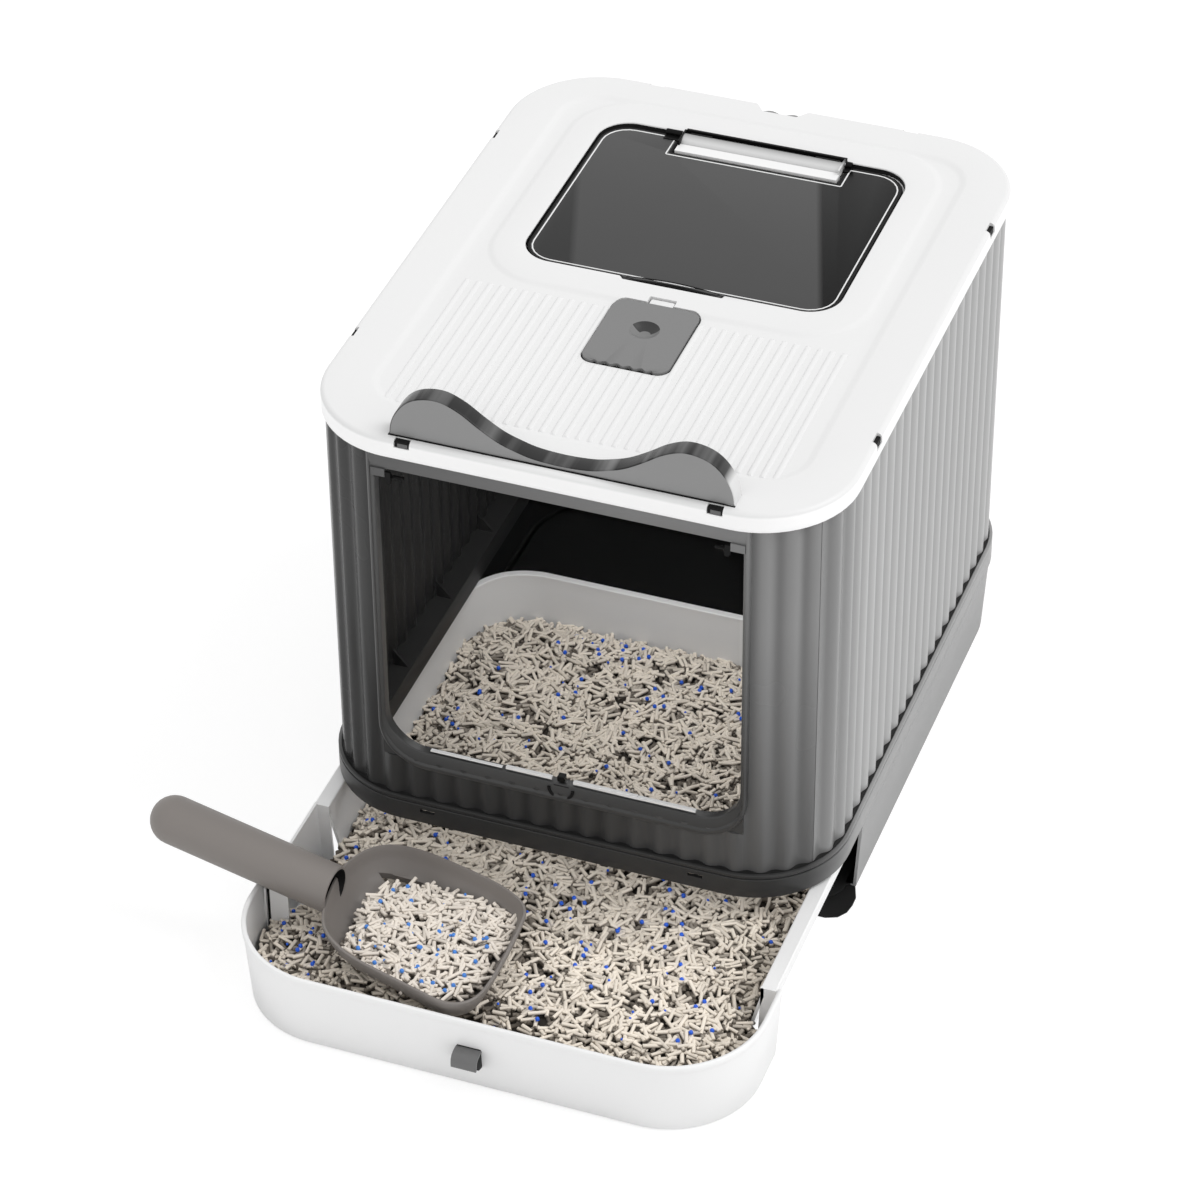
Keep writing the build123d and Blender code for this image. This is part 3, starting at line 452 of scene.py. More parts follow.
def slab(line, low, high, edge=0.0, under=0.0):
    """Plate with a closed outline: flat below, with its upper and lower edges rounded by the given radii."""
    line = np.asarray(line, float)
    ahead, behind = np.roll(line, -1, 0), np.roll(line, 1, 0)
    along = ahead - behind
    along /= np.maximum(np.linalg.norm(along, axis=1, keepdims=True), 1e-9)
    area = np.sum(line[:, 0] * ahead[:, 1] - ahead[:, 0] * line[:, 1])
    inwards = np.stack([-along[:, 1], along[:, 0]], -1) * math.copysign(1, area)
    turns = [(1 - math.cos(t), 1 - math.sin(t)) for t in np.linspace(0, math.pi / 2, ROUND_STEPS)]
    steps = [(under * drop, low + under * start) for start, drop in turns] if under else [(0, low)]
    steps += [(edge * start, high - edge * drop) for start, drop in turns] if edge else [(0, high)]
    return tube(np.array([lifted(line + inwards * inset, z) for inset, z in steps]))


apron_side = np.array(APRON) + (0, FRONT)
apron = slab(np.concatenate([apron_side, apron_side[::-1] * (-1, 1)]), 0, APRON_THICK)
piece("base_shell_skin", [skirt, (*slab(floor_line, 0, FLOOR_THICK, 0.6, 0.4), 1), (*apron, 1)],
      [base_plastic, painted_shade], "housing", "base_shell", bevel=0.25)


# Base ring: the dark frame between base and walls, hollow below. A ledge inside it carries the walls' feet,
# small gussets stiffen it, and a shadow groove runs round its front and fades out along its sides.
RING_TOP = 90.0
RING_PROUD = 1.0
RING_WALL = 3.0
LEDGE = (180.0, 13.0, 516.0, 30.0)
LEDGE_THICK = 3.0
LEDGE_LIP = 2.0
LEDGE_LOW = 70.5
GROOVE = (85.5, 87.0)
GROOVE_FADE = 30.0
SLOT_MIDDLE = 108.0
SLOT_HALF = 6.0
SLOT_ROWS = (78.5, 81.5)
GUSSET_PLACES = (147.0, 240.0, 334.0)
GUSSET_REACH = 13.5
GUSSET_HEIGHT = 15.0
GUSSET_THICK = 2.0


def placed(spot):
    """A rounded rectangle given from the housing's front, in the frame's own depths."""
    half, front, back, corner = spot
    return half, FRONT + front, FRONT + back, corner


def rail(section, start, end):
    """Bar with a section of (x, z) points, from one depth to another, both from the housing's front."""
    return tube(np.array([[(x, FRONT + y, z) for x, z in section] for y in (start, end)]))


# Painted light: the ring is near-black at the front and fades to the base's grey along the sides and back,
# for the light that falls there.
ring_plastic = moulded("ring plastic", grey(0.036), 0.30, shine=0.3, mottle=0.05,
                       fades=(("Y", FRONT + 25, FRONT + 105, grey(0.29)),))
ledge_plastic = moulded("ledge plastic", grey(0.022), 0.4, shine=0.2)
slot_s = np.array([SLOT_MIDDLE - SLOT_HALF, SLOT_MIDDLE + SLOT_HALF])
ring_s = np.unique(np.concatenate([housing_s, slot_s, housing_at[-1] - slot_s]))
core, out = outline(ring_s, *housing_spot)
rows = [(RING_PROUD - 0.9, BASE_TOP), (RING_PROUD - 0.25, BASE_TOP + 0.25), (RING_PROUD, BASE_TOP + 0.9),
        (RING_PROUD, SLOT_ROWS[0]), (RING_PROUD, SLOT_ROWS[1]), (RING_PROUD, GROOVE[0] - 0.5),
        (RING_PROUD - 0.4, GROOVE[0]), (0, GROOVE[0]), (0, GROOVE[1]), (RING_PROUD - 0.4, GROOVE[1]),
        (RING_PROUD, GROOVE[1] + 0.5), (RING_PROUD, RING_TOP - 1.0), (RING_PROUD - 0.3, RING_TOP - 0.3),
        (RING_PROUD - 1.0, RING_TOP)]
flat_rows = [(max(offset, RING_PROUD - 1e-4) if GROOVE[0] - 1 < z < GROOVE[1] + 1 else offset, z)
             for offset, z in rows]
fading = np.clip((core[:, 1] - FRONT - CORNER) / GROOVE_FADE, 0, 1)[:, None, None]
ring_outer = swept(rows, core, out, CORNER) * (1 - fading) + swept(flat_rows, core, out, CORNER) * fading
ring_inner = swept([(RING_PROUD - RING_WALL, z) for _, z in rows], core, out, CORNER)
middle = np.abs((ring_s + np.roll(ring_s, -1)) / 2)
in_slot = np.minimum(np.abs(middle - SLOT_MIDDLE), np.abs(middle - housing_at[-1] + SLOT_MIDDLE)) < SLOT_HALF
keep = np.ones((len(ring_s), len(rows) - 1), bool)
keep[in_slot, 3] = False
wall_ring = shell(ring_outer, ring_inner, keep, joined=True)
ledge_rows = [(housing_spot, RING_TOP - LEDGE_THICK, -1.5), (housing_spot, RING_TOP, -1.5)]
ledge_rows += [(placed(LEDGE), z, offset) for z, offset in
               ((RING_TOP, 0.8), (RING_TOP - 0.25, 0.25), (RING_TOP - 0.8, 0), (LEDGE_LOW, 0),
                (LEDGE_LOW, LEDGE_LIP), (RING_TOP - LEDGE_THICK, LEDGE_LIP))]
ledge = tube(np.array([ring_points(*spot, z, offset) for spot, z, offset in ledge_rows]), joined=True)
gussets = []
for side in (-1, 1):
    tip = side * (LEDGE[0] + LEDGE_LIP)
    root = tip + side * GUSSET_REACH
    web = [(root, RING_TOP - 0.5), (tip, RING_TOP - 0.5), (root, RING_TOP + GUSSET_HEIGHT)]
    gussets += [rail(web, y - GUSSET_THICK / 2, y + GUSSET_THICK / 2) for y in GUSSET_PLACES]
piece("base_ring_skin", [wall_ring] + [(*part, 1) for part in [ledge] + gussets],
      [ring_plastic, ledge_plastic], "housing", "base_ring", smooth=35)


# Walls: tall corrugated sheets of grey plastic that follow the housing's rounded outline. Two side walls and
# a rear wall stand on the ring's ledge, and snap into each other at upright seams near the corners.
WALL_TOP = 421.0
WALL_INSET = 5.25
WALL_THICK = 2.5
WAVE = 1.5
WAVE_PITCH = 19.6
WAVE_STEPS = 14
SEAM_ANGLE = 55.0
SEAM_GAP = 0.5

wall_spot = (HALF - WALL_INSET, FRONT + WALL_INSET, BACK - WALL_INSET, CORNER - WALL_INSET)
wall_at = knots(*wall_spot)
seam = wall_at[1] + (CORNER - WALL_INSET) * math.radians(SEAM_ANGLE)
half_round = wall_at[-1] / 2


def wavy_wall(start, end, cut=None):
    """Corrugated sheet: its middle line swings in and out as the cosine of the length along the outline.

    Its inner side has the second finish. The tints go from 0 in the valleys to 1 on the broad crests, to
    paint shade into the valleys. cut is the half width and the foot of an opening in the middle; the sheet
    below that has the third finish.
    """
    s = np.linspace(start, end, int((end - start) / WAVE_PITCH * WAVE_STEPS) + 1)
    if cut:
        s = np.unique(np.concatenate([s, [-cut[0], cut[0]]]))
    core, out = outline(s, *wall_spot)
    wave = WAVE * np.cos(2 * math.pi * s / WAVE_PITCH)
    rows = np.unique([RING_TOP, cut[1] if cut else WALL_TOP, WALL_TOP])
    faces = []
    for reach in (WALL_THICK / 2, -WALL_THICK / 2):
        flat = core + (CORNER - WALL_INSET + wave + reach)[:, None] * out
        faces.append(np.stack([lifted(flat, row) for row in rows], 1))
    keep = None
    if cut:
        at_cut = (np.abs(s[:-1] + s[1:]) / 2 < cut[0])[:, None]
        keep = ~(at_cut & (rows[:-1] >= cut[1])[None, :])
    points, sets = shell(*faces, keep)
    kinds = [0, 1, 0, 0, 0, 0]
    if cut:
        under = (at_cut & (rows[:-1] < cut[1])[None, :])[keep]
        sets, kinds = [sets[0][~under], sets[0][under], *sets[1:]], [0, 2] + kinds[1:]
    crest = 1 - ((1 - np.cos(2 * math.pi * s / WAVE_PITCH)) / 2) ** 2
    return (points, sets, kinds), np.tile(np.repeat(crest, len(rows)), 2)


# Painted light: the side walls darken towards the front corners, and on all three walls the dim colour paints
# shade into the wave valleys.
wall_plastic = moulded("side wall plastic", grey(0.42), 0.30, dim=grey(0.29), coat=0.2,
                       fades=(("Y", FRONT + 110, FRONT + 5, grey(0.09)),))
rear_plastic = moulded("rear wall plastic", grey(0.24), 0.34, dim=grey(0.16), coat=0.2)
# The walls' inner faces are painted near-black for the shade inside the cabin.
wall_inside_shade = moulded("wall inside", grey(0.022), 0.45, shine=0.1)
side_sheet, side_waves = wavy_wall(seam + SEAM_GAP, half_round - seam - SEAM_GAP)
left_sheet = (side_sheet[0] * (-1, 1, 1), *side_sheet[1:])
rear_sheet, rear_waves = wavy_wall(half_round - seam + SEAM_GAP, half_round + seam - SEAM_GAP)
for node, sheet, waves, plastic in (("right_wall", side_sheet, side_waves, wall_plastic),
                                    ("left_wall", left_sheet, side_waves, wall_plastic),
                                    ("rear_wall", rear_sheet, rear_waves, rear_plastic)):
    piece(node + "_skin", [sheet], [plastic, wall_inside_shade], "housing", node, tints=waves)


# Front panel: dark corrugated sheet wrapped round both front corners, moulded in one with the entry's frame,
# its sill, a bar over it and the two lugs that the entry flap hangs from.
DOOR_HALF = 141.0
DOOR_LOW = 134.0
DOOR_HIGH = 396.0
DOOR_CORNER = 33.0
FRAME_SIDE = 5.5
FRAME_SILL = 15.0
FRAME_BACK = 12.0
FRAME_SECTION = [(5.5, 15.0, 24.5, 12.0), (5.5, 15.0, 24.5, 3.6), (5.0, 14.4, 24.2, 2.2),
                 (3.9, 12.8, 10.0, 1.4), (2.9, 10.6, 9.0, 1.5), (2.3, 9.0, 3.0, 2.9), (1.2, 5.0, 1.0, 3.4),
                 (0.3, 0.8, 0.3, 4.4), (0.0, 0.0, 0.0, 5.4), (0.0, 0.0, 0.0, 12.0)]
FILL_SHEET = (2.75, 7.5, 24.0, -32.5)
FILL_FRAME = (1.5, 5.5, 2.0, 1.5)
FILL_DEPTHS = (4.2, 4.6, 6.5)
LUG_LENGTH = 9.0
LUG_LOW = 390.0
HOOK_PARTS = ((127.6, 131.9, 2.2, 4.4, 386.0, 394.5), (127.3, 130.6, 2.4, 4.2, 384.5, 390.0))
DENT_RADIUS = 9.5
DENT_LOW = 131.0
DENT_THICK = 1.3
DENT_DEPTH = 3.0
SEAT_BAR = (-6.0, 6.0, 4.2, 11.2, 127.0, 133.2)

# Painted light: the front sheet and the frame darken towards the bottom and the left, and the sheet's dim
# colour paints shade into its wave valleys. Under the sill the sheet is painted darker still, for the shade
# there.
front_plastic = moulded("front plastic", grey(0.25), 0.27, dim=grey(0.16), coat=0.04, shine=0.15,
                        fades=(("Z", 320, 80, grey(0.095)), ("X", 80, -215, grey(0.026))))
under_sill_shade = moulded("plastic under the sill", grey(0.045), 0.30, dim=grey(0.032), shine=0.3,
                        fades=(("X", 30, 146, grey(0.095)),))
frame_plastic = moulded("frame plastic", grey(0.19), 0.30, shine=0.3,
                        fades=(("Z", 400, 180, grey(0.05)), ("X", 60, -230, grey(0.06))))


def portal(half, low, high, corner, y):
    """Closed loop round the entry in an upright plane, round at its lower corners and square at its upper."""
    turn = np.radians(np.linspace(0, -90, 12))
    right_bend = np.stack([half - corner * (1 - np.cos(turn)), low + corner * (1 + np.sin(turn))], -1)
    left_bend = right_bend[::-1] * (-1, 1)
    line = np.concatenate([[(half, high)], right_bend, left_bend, [(-half, high)]])
    return np.stack([line[:, 0], np.full(len(line), FRONT + y), line[:, 1]], -1)


def round_door(aside, below, above, y, corner=None):
    """The door's own loop, drawn outwards at its sides, its foot and its head; its corners grow with it."""
    corner = DOOR_CORNER + (aside if corner is None else corner)
    return portal(DOOR_HALF + aside, DOOR_LOW - below, DOOR_HIGH + above, corner, y)


def block(x0, x1, y0, y1, z0, z1):
    """Plain block from its six bounds, with its depths from the housing's front."""
    y0, y1 = FRONT + y0, FRONT + y1
    return tube(np.array([[(x0, y0, z), (x1, y0, z), (x1, y1, z), (x0, y1, z)] for z in (z0, z1)], float))


def spun(count):
    """Equal steps of angle round a whole circle."""
    return np.linspace(0, 2 * math.pi, count, endpoint=False)


def half_ring(y, radius, thick):
    """Round bar bent into the lower half of a ring: the bar's circle, turned about the ring's middle."""
    turn, spin = np.radians(np.linspace(180, 360, 24))[:, None], spun(8)[None, :]
    reach = radius + thick * np.cos(spin)
    level = np.broadcast_to(thick * np.sin(spin), (24, 8))
    return tube(np.stack([reach * np.cos(turn), level + FRONT + y, reach * np.sin(turn) + DENT_LOW], -1))


front_sheet, waves = wavy_wall(-seam, seam, cut=(DOOR_HALF + FRAME_SIDE / 2, DOOR_LOW - FRAME_SILL / 2))
entry_frame = tube(np.array([round_door(*row) for row in FRAME_SECTION]), joined=True)
near, middle, far = FILL_DEPTHS
fill_loops = [round_door(*spot[:3], y, spot[3]) for spot, y in
              ((FILL_SHEET, near), (FILL_FRAME, middle), (FILL_FRAME, far), (FILL_SHEET, far))]
corner_fill = tube(np.array(fill_loops), joined=True)
lugs = [block(side * (DOOR_HALF - LUG_LENGTH), side * (DOOR_HALF + 2), 2, FRAME_BACK, LUG_LOW, DOOR_HIGH + 1)
        for side in (-1, 1)]
dent = half_ring(DENT_DEPTH, DENT_RADIUS, DENT_THICK)
hooks = [block(side * x0, side * x1, *rest) for x0, x1, *rest in HOOK_PARTS for side in (-1, 1)]
piece("front_panel_sheet", [front_sheet], [front_plastic, wall_inside_shade, under_sill_shade], "housing",
      "front_panel", tints=waves)
piece("entry_frame", [entry_frame, corner_fill] + lugs, [frame_plastic], "housing", "front_panel",
      smooth=30)
# The dent's ring, the seat bar and the hooks are near-black painted shade.
piece("sill_dent", [dent, block(*SEAT_BAR)] + hooks, [painted_shade], "housing", "frame_magnet",
      smooth=50)


# Lid: a white skirted shell. Its top has a shallow recess with soft sides, a field of ribs in front, a raised
# collar round the window, a pocket for the deodoriser cover, notches for the snap clips and a rear grip.
LID_ROUND = 4.0
LID_WALL = 2.0
RECESS = (166.0, 45.0, 490.0, 34.0)
RECESS_DEPTH = 2.0
COLLAR = (150.0, 224.5, 490.5, 50.0)
WINDOW = (126.0, 254.0, 461.0, 26.0)
WINDOW_SEAT = 9.0
SEAT_LOW = 418.5
WINDOW_ROUND = 0.9
SEAT_REACH = 6.05
SEAT_CORNER = 23.0
NOTCH_FRONT = 249.0
NOTCH_BACK = 254.0
NOTCH_HALF = 40.0
NOTCH_DEPTH = 2.6
NOTCH_SOFT = 3.0
COVER_POCKET = (35.0, 141.5, 227.5, 10.5)
TAB_POCKET = (10.5, 222.0, 234.8, 0.9)
POCKET_FLOOR = 422.8
CASE_HOLE = (26.5, 150.0, 219.0, 6.0)
GRIP_NOTCH = (23.5, 14.0, 12.5)
GRIP_SILL = 414.5
CLIP_HALF = 6.0
CLIP_ROWS = (418.0, 420.2, 421.0)
CLIP_FRONT = (117.0, 120.4)
CLIP_BACK = 106.0
CLIP_SIDES = (119.0, 409.0)
CLIP_CUT = 4.2
CLIP_CUT_FRONT = 5.8
CLIP_BEYOND = 5.0
RIBS = 33
RIB_PITCH = 9.3
RIB_HALF = 2.3
RIB_HEIGHT = 1.3
RIB_SOFT = 3.0
RIB_RUN = (47.5, 214.0)


def depth_in(x, y, spot):
    """How far inside a rounded rectangle each point lies, negative outside."""
    half, front, back, corner = spot
    across = np.abs(x) - (half - corner)
    along = np.abs(y - (front + back) / 2) - ((back - front) / 2 - corner)
    beyond = np.hypot(np.maximum(across, 0), np.maximum(along, 0))
    return corner - beyond - np.minimum(np.maximum(across, along), 0)


def ease(t):
    """Smooth step from 0 to 1 as t goes from 0 to 1."""
    t = np.clip(t, 0, 1)
    return t * t * (3 - 2 * t)


def rounding(inside, radius):
    """How far a rounded edge has dropped below its flat: a quarter circle over the first radius inside."""
    return radius - np.sqrt(np.maximum(radius ** 2 - (radius - np.clip(inside, 0, radius)) ** 2, 0))


def within(points, loop):
    """Which points lie inside a closed line, by counting its crossings to the right of each."""
    x, y = points[:, :1], points[:, 1:2]
    x0, y0 = loop[:, 0], loop[:, 1]
    x1, y1 = np.roll(x0, -1), np.roll(y0, -1)
    spans = (y0 > y) != (y1 > y)
    cross = x < (x1 - x0) * (y - y0) / np.where(y1 == y0, 1, y1 - y0) + x0
    return np.sum(spans & cross, 1) % 2 == 1


def plate(border, holes, lines, top, bottom):
    """Sheet cut to a border with holes, lifted by two height functions of x and y.

    A net of triangles keeps every given line. Walls close the sheet round its border and each hole.
    """
    loops = [np.asarray(loop)[:, :2] for loop in [border, *holes, *lines]]
    marks, edges = [], []
    for loop in loops:
        edges += [(len(marks) + k, len(marks) + (k + 1) % len(loop)) for k in range(len(loop))]
        marks += [Vector(p) for p in loop]
    found, _, faces, *_ = delaunay_2d_cdt(marks, edges, [], 0, 1e-3)
    flat, faces = np.array(found), np.array(faces)
    middle = flat[faces].mean(1)
    inside = within(middle, loops[0])
    for hole in loops[1:1 + len(holes)]:
        inside &= ~within(middle, hole)
    used, faces = np.unique(faces[inside], return_inverse=True)
    flat, faces = flat[used], faces.reshape(-1, 3)
    sides = np.concatenate([faces[:, [0, 1]], faces[:, [1, 2]], faces[:, [2, 0]]])
    code, back = sides[:, 0] * len(flat) + sides[:, 1], sides[:, 1] * len(flat) + sides[:, 0]
    rim = sides[~np.isin(code, back)]
    points = np.concatenate([lifted(flat, height(*flat.T)) for height in (top, bottom)])
    count = len(flat)
    walls = np.stack([rim[:, 1], rim[:, 0], rim[:, 0] + count, rim[:, 1] + count], -1)
    return points, [faces, faces[:, ::-1] + count, walls]


recess, collar, window = placed(RECESS), placed(COLLAR), placed(WINDOW)
pocket, tab_pocket = placed(COVER_POCKET), placed(TAB_POCKET)


def lid_top(x, y):
    """Height of the lid's top: the rim less its rounding, recess, window seat, pocket and finger notches."""
    sunk = ease((depth_in(x, y, recess) + 4) / 8) * (1 - ease((depth_in(x, y, collar) + 4) / 7))
    z = TOP - rounding(depth_in(x, y, housing_spot), LID_ROUND) - RECESS_DEPTH * sunk
    notch = ease((NOTCH_HALF + 2 - np.abs(x)) / NOTCH_SOFT) * ease((y - FRONT - NOTCH_FRONT) / NOTCH_SOFT)
    opening = -depth_in(x, y, window)
    z = z - np.where(opening < WINDOW_SEAT, NOTCH_DEPTH * notch, 0) - rounding(opening, WINDOW_ROUND)
    z = np.where(opening < -0.01, WALL_TOP, z)
    sunk_in = np.maximum(depth_in(x, y, pocket), depth_in(x, y, tab_pocket))
    return np.where(sunk_in > 0.01, POCKET_FLOOR, z)


def lid_under(x, y):
    """Height of the lid's underside, lower where the window's seat is."""
    return np.where(depth_in(x, y, window) > -SEAT_REACH, SEAT_LOW, WALL_TOP)


def level_at(z):
    """A height function that is the same everywhere."""
    return lambda x, y: np.full(x.shape, z)


def rectangle(x0, x1, y0, y1):
    """Closed line round a rectangle, with depths from the housing's front."""
    return np.array([(x0, FRONT + y0), (x1, FRONT + y0), (x1, FRONT + y1), (x0, FRONT + y1)])


all_round = housing_at[-1]
clip_middles = np.array([all_round / 2 - CLIP_BACK, *[housing_at[2] + y - CORNER for y in CLIP_SIDES]])
clip_middles = np.concatenate([[CLIP_FRONT[1], all_round - CLIP_FRONT[0]], clip_middles,
                               all_round - clip_middles])
clip_s = np.concatenate([clip_middles - CLIP_HALF, clip_middles + CLIP_HALF])
grip_s = all_round / 2 + np.array([-GRIP_NOTCH[0], GRIP_NOTCH[0]])
lid_s = np.unique(np.concatenate([housing_s, clip_s, grip_s]))
middle = (lid_s + np.append(lid_s[1:], all_round)) / 2
at_clip = np.min(np.abs(middle[:, None] - clip_middles), 1) < CLIP_HALF
at_grip = np.abs(middle - all_round / 2) < GRIP_NOTCH[0]
core, out = outline(lid_s, *housing_spot)
skirt_rows = [(-0.8, SKIRT_LOW), (-0.25, SKIRT_LOW + 0.25), (0, SKIRT_LOW + 0.8), (0, GRIP_SILL),
              *((0, row) for row in CLIP_ROWS)]
keep = np.ones((len(lid_s), len(skirt_rows) - 1), bool)
at_front = np.min(np.abs(middle[:, None] - clip_middles[:2]), 1) < CLIP_HALF
keep[at_clip & ~at_front, 4] = False
keep[at_clip, 5] = False
keep[at_grip, 3:] = False
lid_skirt = shell(swept(skirt_rows, core, out, CORNER),
                  swept([(-LID_WALL, z) for _, z in skirt_rows], core, out, CORNER), keep, joined=True)
lid_lines = rounds(housing_spot, (-0.12, -0.5, -1.1, -2.0, -3.0, -LID_ROUND))
lid_lines += rounds(recess, (4, 2.5, 1, -1, -2.5, -4)) + rounds(collar, (4, 2.6, 1, -0.8, -3))
lid_lines += rounds(window, (WINDOW_ROUND, 0.5, 0.2, 0.0, -0.05, SEAT_REACH + 0.05, SEAT_REACH - 0.05))
lid_lines += rounds(pocket, (0.2, -0.05), 5) + rounds(tab_pocket, (0.2, -0.05), 5)
lid_lines += [rectangle(step - NOTCH_HALF - 2, NOTCH_HALF + 2 - step, NOTCH_FRONT + step, NOTCH_BACK)
              for step in range(4)]
length = BACK - FRONT
grip_wide, grip_narrow, grip_deep = GRIP_NOTCH
grip_line = [(x, BACK - deep) for x, deep in
             ((grip_wide, 0), (grip_narrow, grip_deep), (-grip_narrow, grip_deep), (-grip_wide, 0))]
lid_edge = np.insert(ring_points(*housing_spot)[:, :2], 2 * (ARC_STEPS + 1), grip_line, 0)
grip_shelf = block(-grip_wide, grip_wide, length - grip_deep - 2, length - 0.4, SKIRT_LOW + 1, GRIP_SILL)
seat_spot = (WINDOW[0] - WINDOW_SEAT, WINDOW[1] + WINDOW_SEAT, WINDOW[2] - WINDOW_SEAT, SEAT_CORNER)
lid_holes = [ring_points(*placed(seat_spot)), ring_points(*placed(CASE_HOLE), arc=4)]
lid_holes += [rectangle(side * (HALF - CLIP_CUT), side * (HALF + CLIP_BEYOND), y - CLIP_HALF, y + CLIP_HALF)
              for side in (-1, 1) for y in CLIP_SIDES]
lid_holes += [rectangle(x - CLIP_HALF, x + CLIP_HALF, start, end) for x, start, end in
              ((-CLIP_FRONT[0], -CLIP_BEYOND, CLIP_CUT_FRONT), (CLIP_FRONT[1], -CLIP_BEYOND, CLIP_CUT_FRONT),
               (-CLIP_BACK, length - CLIP_CUT, length + CLIP_BEYOND),
               (CLIP_BACK, length - CLIP_CUT, length + CLIP_BEYOND))]
lid_plate = plate(lid_edge, lid_holes, lid_lines, lid_top, lid_under)


def rib(x, start, end):
    """One rib: a bar on the recess floor, its height a half circle across and rounded at both ends."""
    across = np.linspace(-1, 1, 7)
    along = RIB_SOFT * np.array([0, 0.2, 1.6 / 3, 1])
    y = np.concatenate([start + along, end - along[::-1]])
    swell = 1 - rounding(np.minimum(y - start, end - y) / RIB_SOFT, 1)
    crown = np.sqrt(np.maximum(1 - across ** 2, 0)) * RIB_HEIGHT
    floor_z = TOP - RECESS_DEPTH
    height = floor_z - 0.02 + swell[:, None] * crown[None, :]
    wide, long = np.meshgrid(x + across * RIB_HALF, FRONT + y)
    upper = np.stack([wide, long, height], -1)
    lower = upper.copy()
    lower[..., 2] = floor_z - 0.5
    return shell(upper, lower)


ribs = []
for k in range(RIBS):
    x = (k - (RIBS - 1) / 2) * RIB_PITCH
    over_cover = abs(x) < COVER_POCKET[0] + 1.5
    ribs.append(rib(x, RIB_RUN[0], COVER_POCKET[1] - 1.0 if over_cover else RIB_RUN[1]))
# Painted light: below the top's rounding the white is painted brighter, so the skirt and the low faces look
# as lit as the top.
white_plastic = moulded("white plastic", grey(0.79), 0.40, coat=0.05, mottle=0.02,
                        fades=(("Z", 423.7, 422.3, grey(0.99)),))
# Near-black sheets of painted shade lie in the gaps round the cover, its tab and the window.
gap_shades = []
for spot, band in ((pocket, 3.0), (tab_pocket, 2.0)):
    near, far = rounds(spot, (-0.06, -band), 5)
    gap_shades.append(plate(near, [far], [], level_at(POCKET_FLOOR + 0.2), level_at(POCKET_FLOOR - 0.2)))
gap_low, gap_high = SEAT_LOW + 1, TOP - 1.1
gap_loops = [ring_points(*window, z, offset) for z, offset in
             ((gap_low, -0.1), (gap_high, -0.1), (gap_high, -0.3), (gap_low, -0.3))]
gap_shades.append(tube(np.array(gap_loops), joined=True))
piece("lid_shell", [lid_plate, lid_skirt, grip_shelf] + ribs + [(*gap, 1) for gap in gap_shades],
      [white_plastic, painted_shade], "housing", "lid", smooth=38)


# Snap clips: small hooks that reach up from the walls into windows in the lid's skirt and hold it down.
# Their bodies are near-black painted shade, and their faces are dark grey.
CLIP_WIDE = 5.6
CLIP_RISE = 1.4
CLIP_DEEP = (1.2, 5.0)
CLIP_TALL = (417.4, 423.8)
FACE_WIDE = (-3.4, 4.4)
FACE_DEEP = (0.7, 1.4)
FACE_TALL = (418.4, 422.4)
SIDE_CLIP = (1.0, 5.0, 5.4, 416.2, 423.6)

clip_face_grey = moulded("clip face", grey(0.12), 0.35)
near, far, reach, *tall = SIDE_CLIP
clips = [block(side * (HALF - near), side * (HALF - far), y - reach, y + reach, *tall)
         for side in (-1, 1) for y in CLIP_SIDES]
for edge, inward, x in ((0, 1, -CLIP_FRONT[0]), (0, 1, CLIP_FRONT[1]), (length, -1, -CLIP_BACK),
                        (length, -1, CLIP_BACK)):
    rise = CLIP_RISE if inward > 0 else 0.0
    clips.append(block(x - CLIP_WIDE, x + CLIP_WIDE, edge + inward * CLIP_DEEP[0],
                       edge + inward * (CLIP_DEEP[1] + rise / 2), CLIP_TALL[0], CLIP_TALL[1] + rise))
    face = block(x + FACE_WIDE[0], x + FACE_WIDE[1], edge + inward * FACE_DEEP[0],
                 edge + inward * FACE_DEEP[1], FACE_TALL[0] + rise, FACE_TALL[1] + rise)
    clips.append((*face, 1))
piece("snap_clips", clips, [painted_shade, clip_face_grey], "housing", "lid_clips", bevel=0.25)


# Crest: a two-humped grip bar pegged onto the lid's front rim, a solid satin moulding. Its streaky top has a
# painted highlight at the right end, and a near-black strip of painted shadow runs along its foot.
CREST_FRONT = 7.0
CREST_BACK = 21.5
CREST_ROUND = 0.9
CREST_MIDDLE = 3.7
CREST_HUMP = [(0, 0), (1, 9.0), (4, 17.8), (10, 27.0), (17, 33.2), (25, 36.6), (34, 38.0), (43, 36.8),
              (55, 31.2), (68, 22.0), (82, 13.4), (95, 8.5), (109, 5.0)]
CREST_END = HALF - CORNER - 2.0
CREST_STRETCH = 1.018


def smooth_line(points, steps, closed=True):
    """Curve through points: between each two, a cubic whose slope at a point is half the step past it."""
    p = np.asarray(points, float)
    if closed:
        before, start, end, after = np.roll(p, 1, 0), p, np.roll(p, -1, 0), np.roll(p, -2, 0)
    else:
        q = np.concatenate([[2 * p[0] - p[1]], p, [2 * p[-1] - p[-2]]])
        before, start, end, after = q[:-3], q[1:-2], q[2:-1], q[3:]
    t = np.linspace(0, 1, steps, endpoint=False)[None, :, None]
    a, b, c, d = (v[:, None] for v in (before, start, end, after))
    curve = 2 * b + (c - a) * t + (2 * a - 5 * b + 4 * c - d) * t ** 2 + (3 * b - a - 3 * c + d) * t ** 3
    curve = 0.5 * curve.reshape(-1, p.shape[1])
    return curve if closed else np.concatenate([curve, p[-1:]])


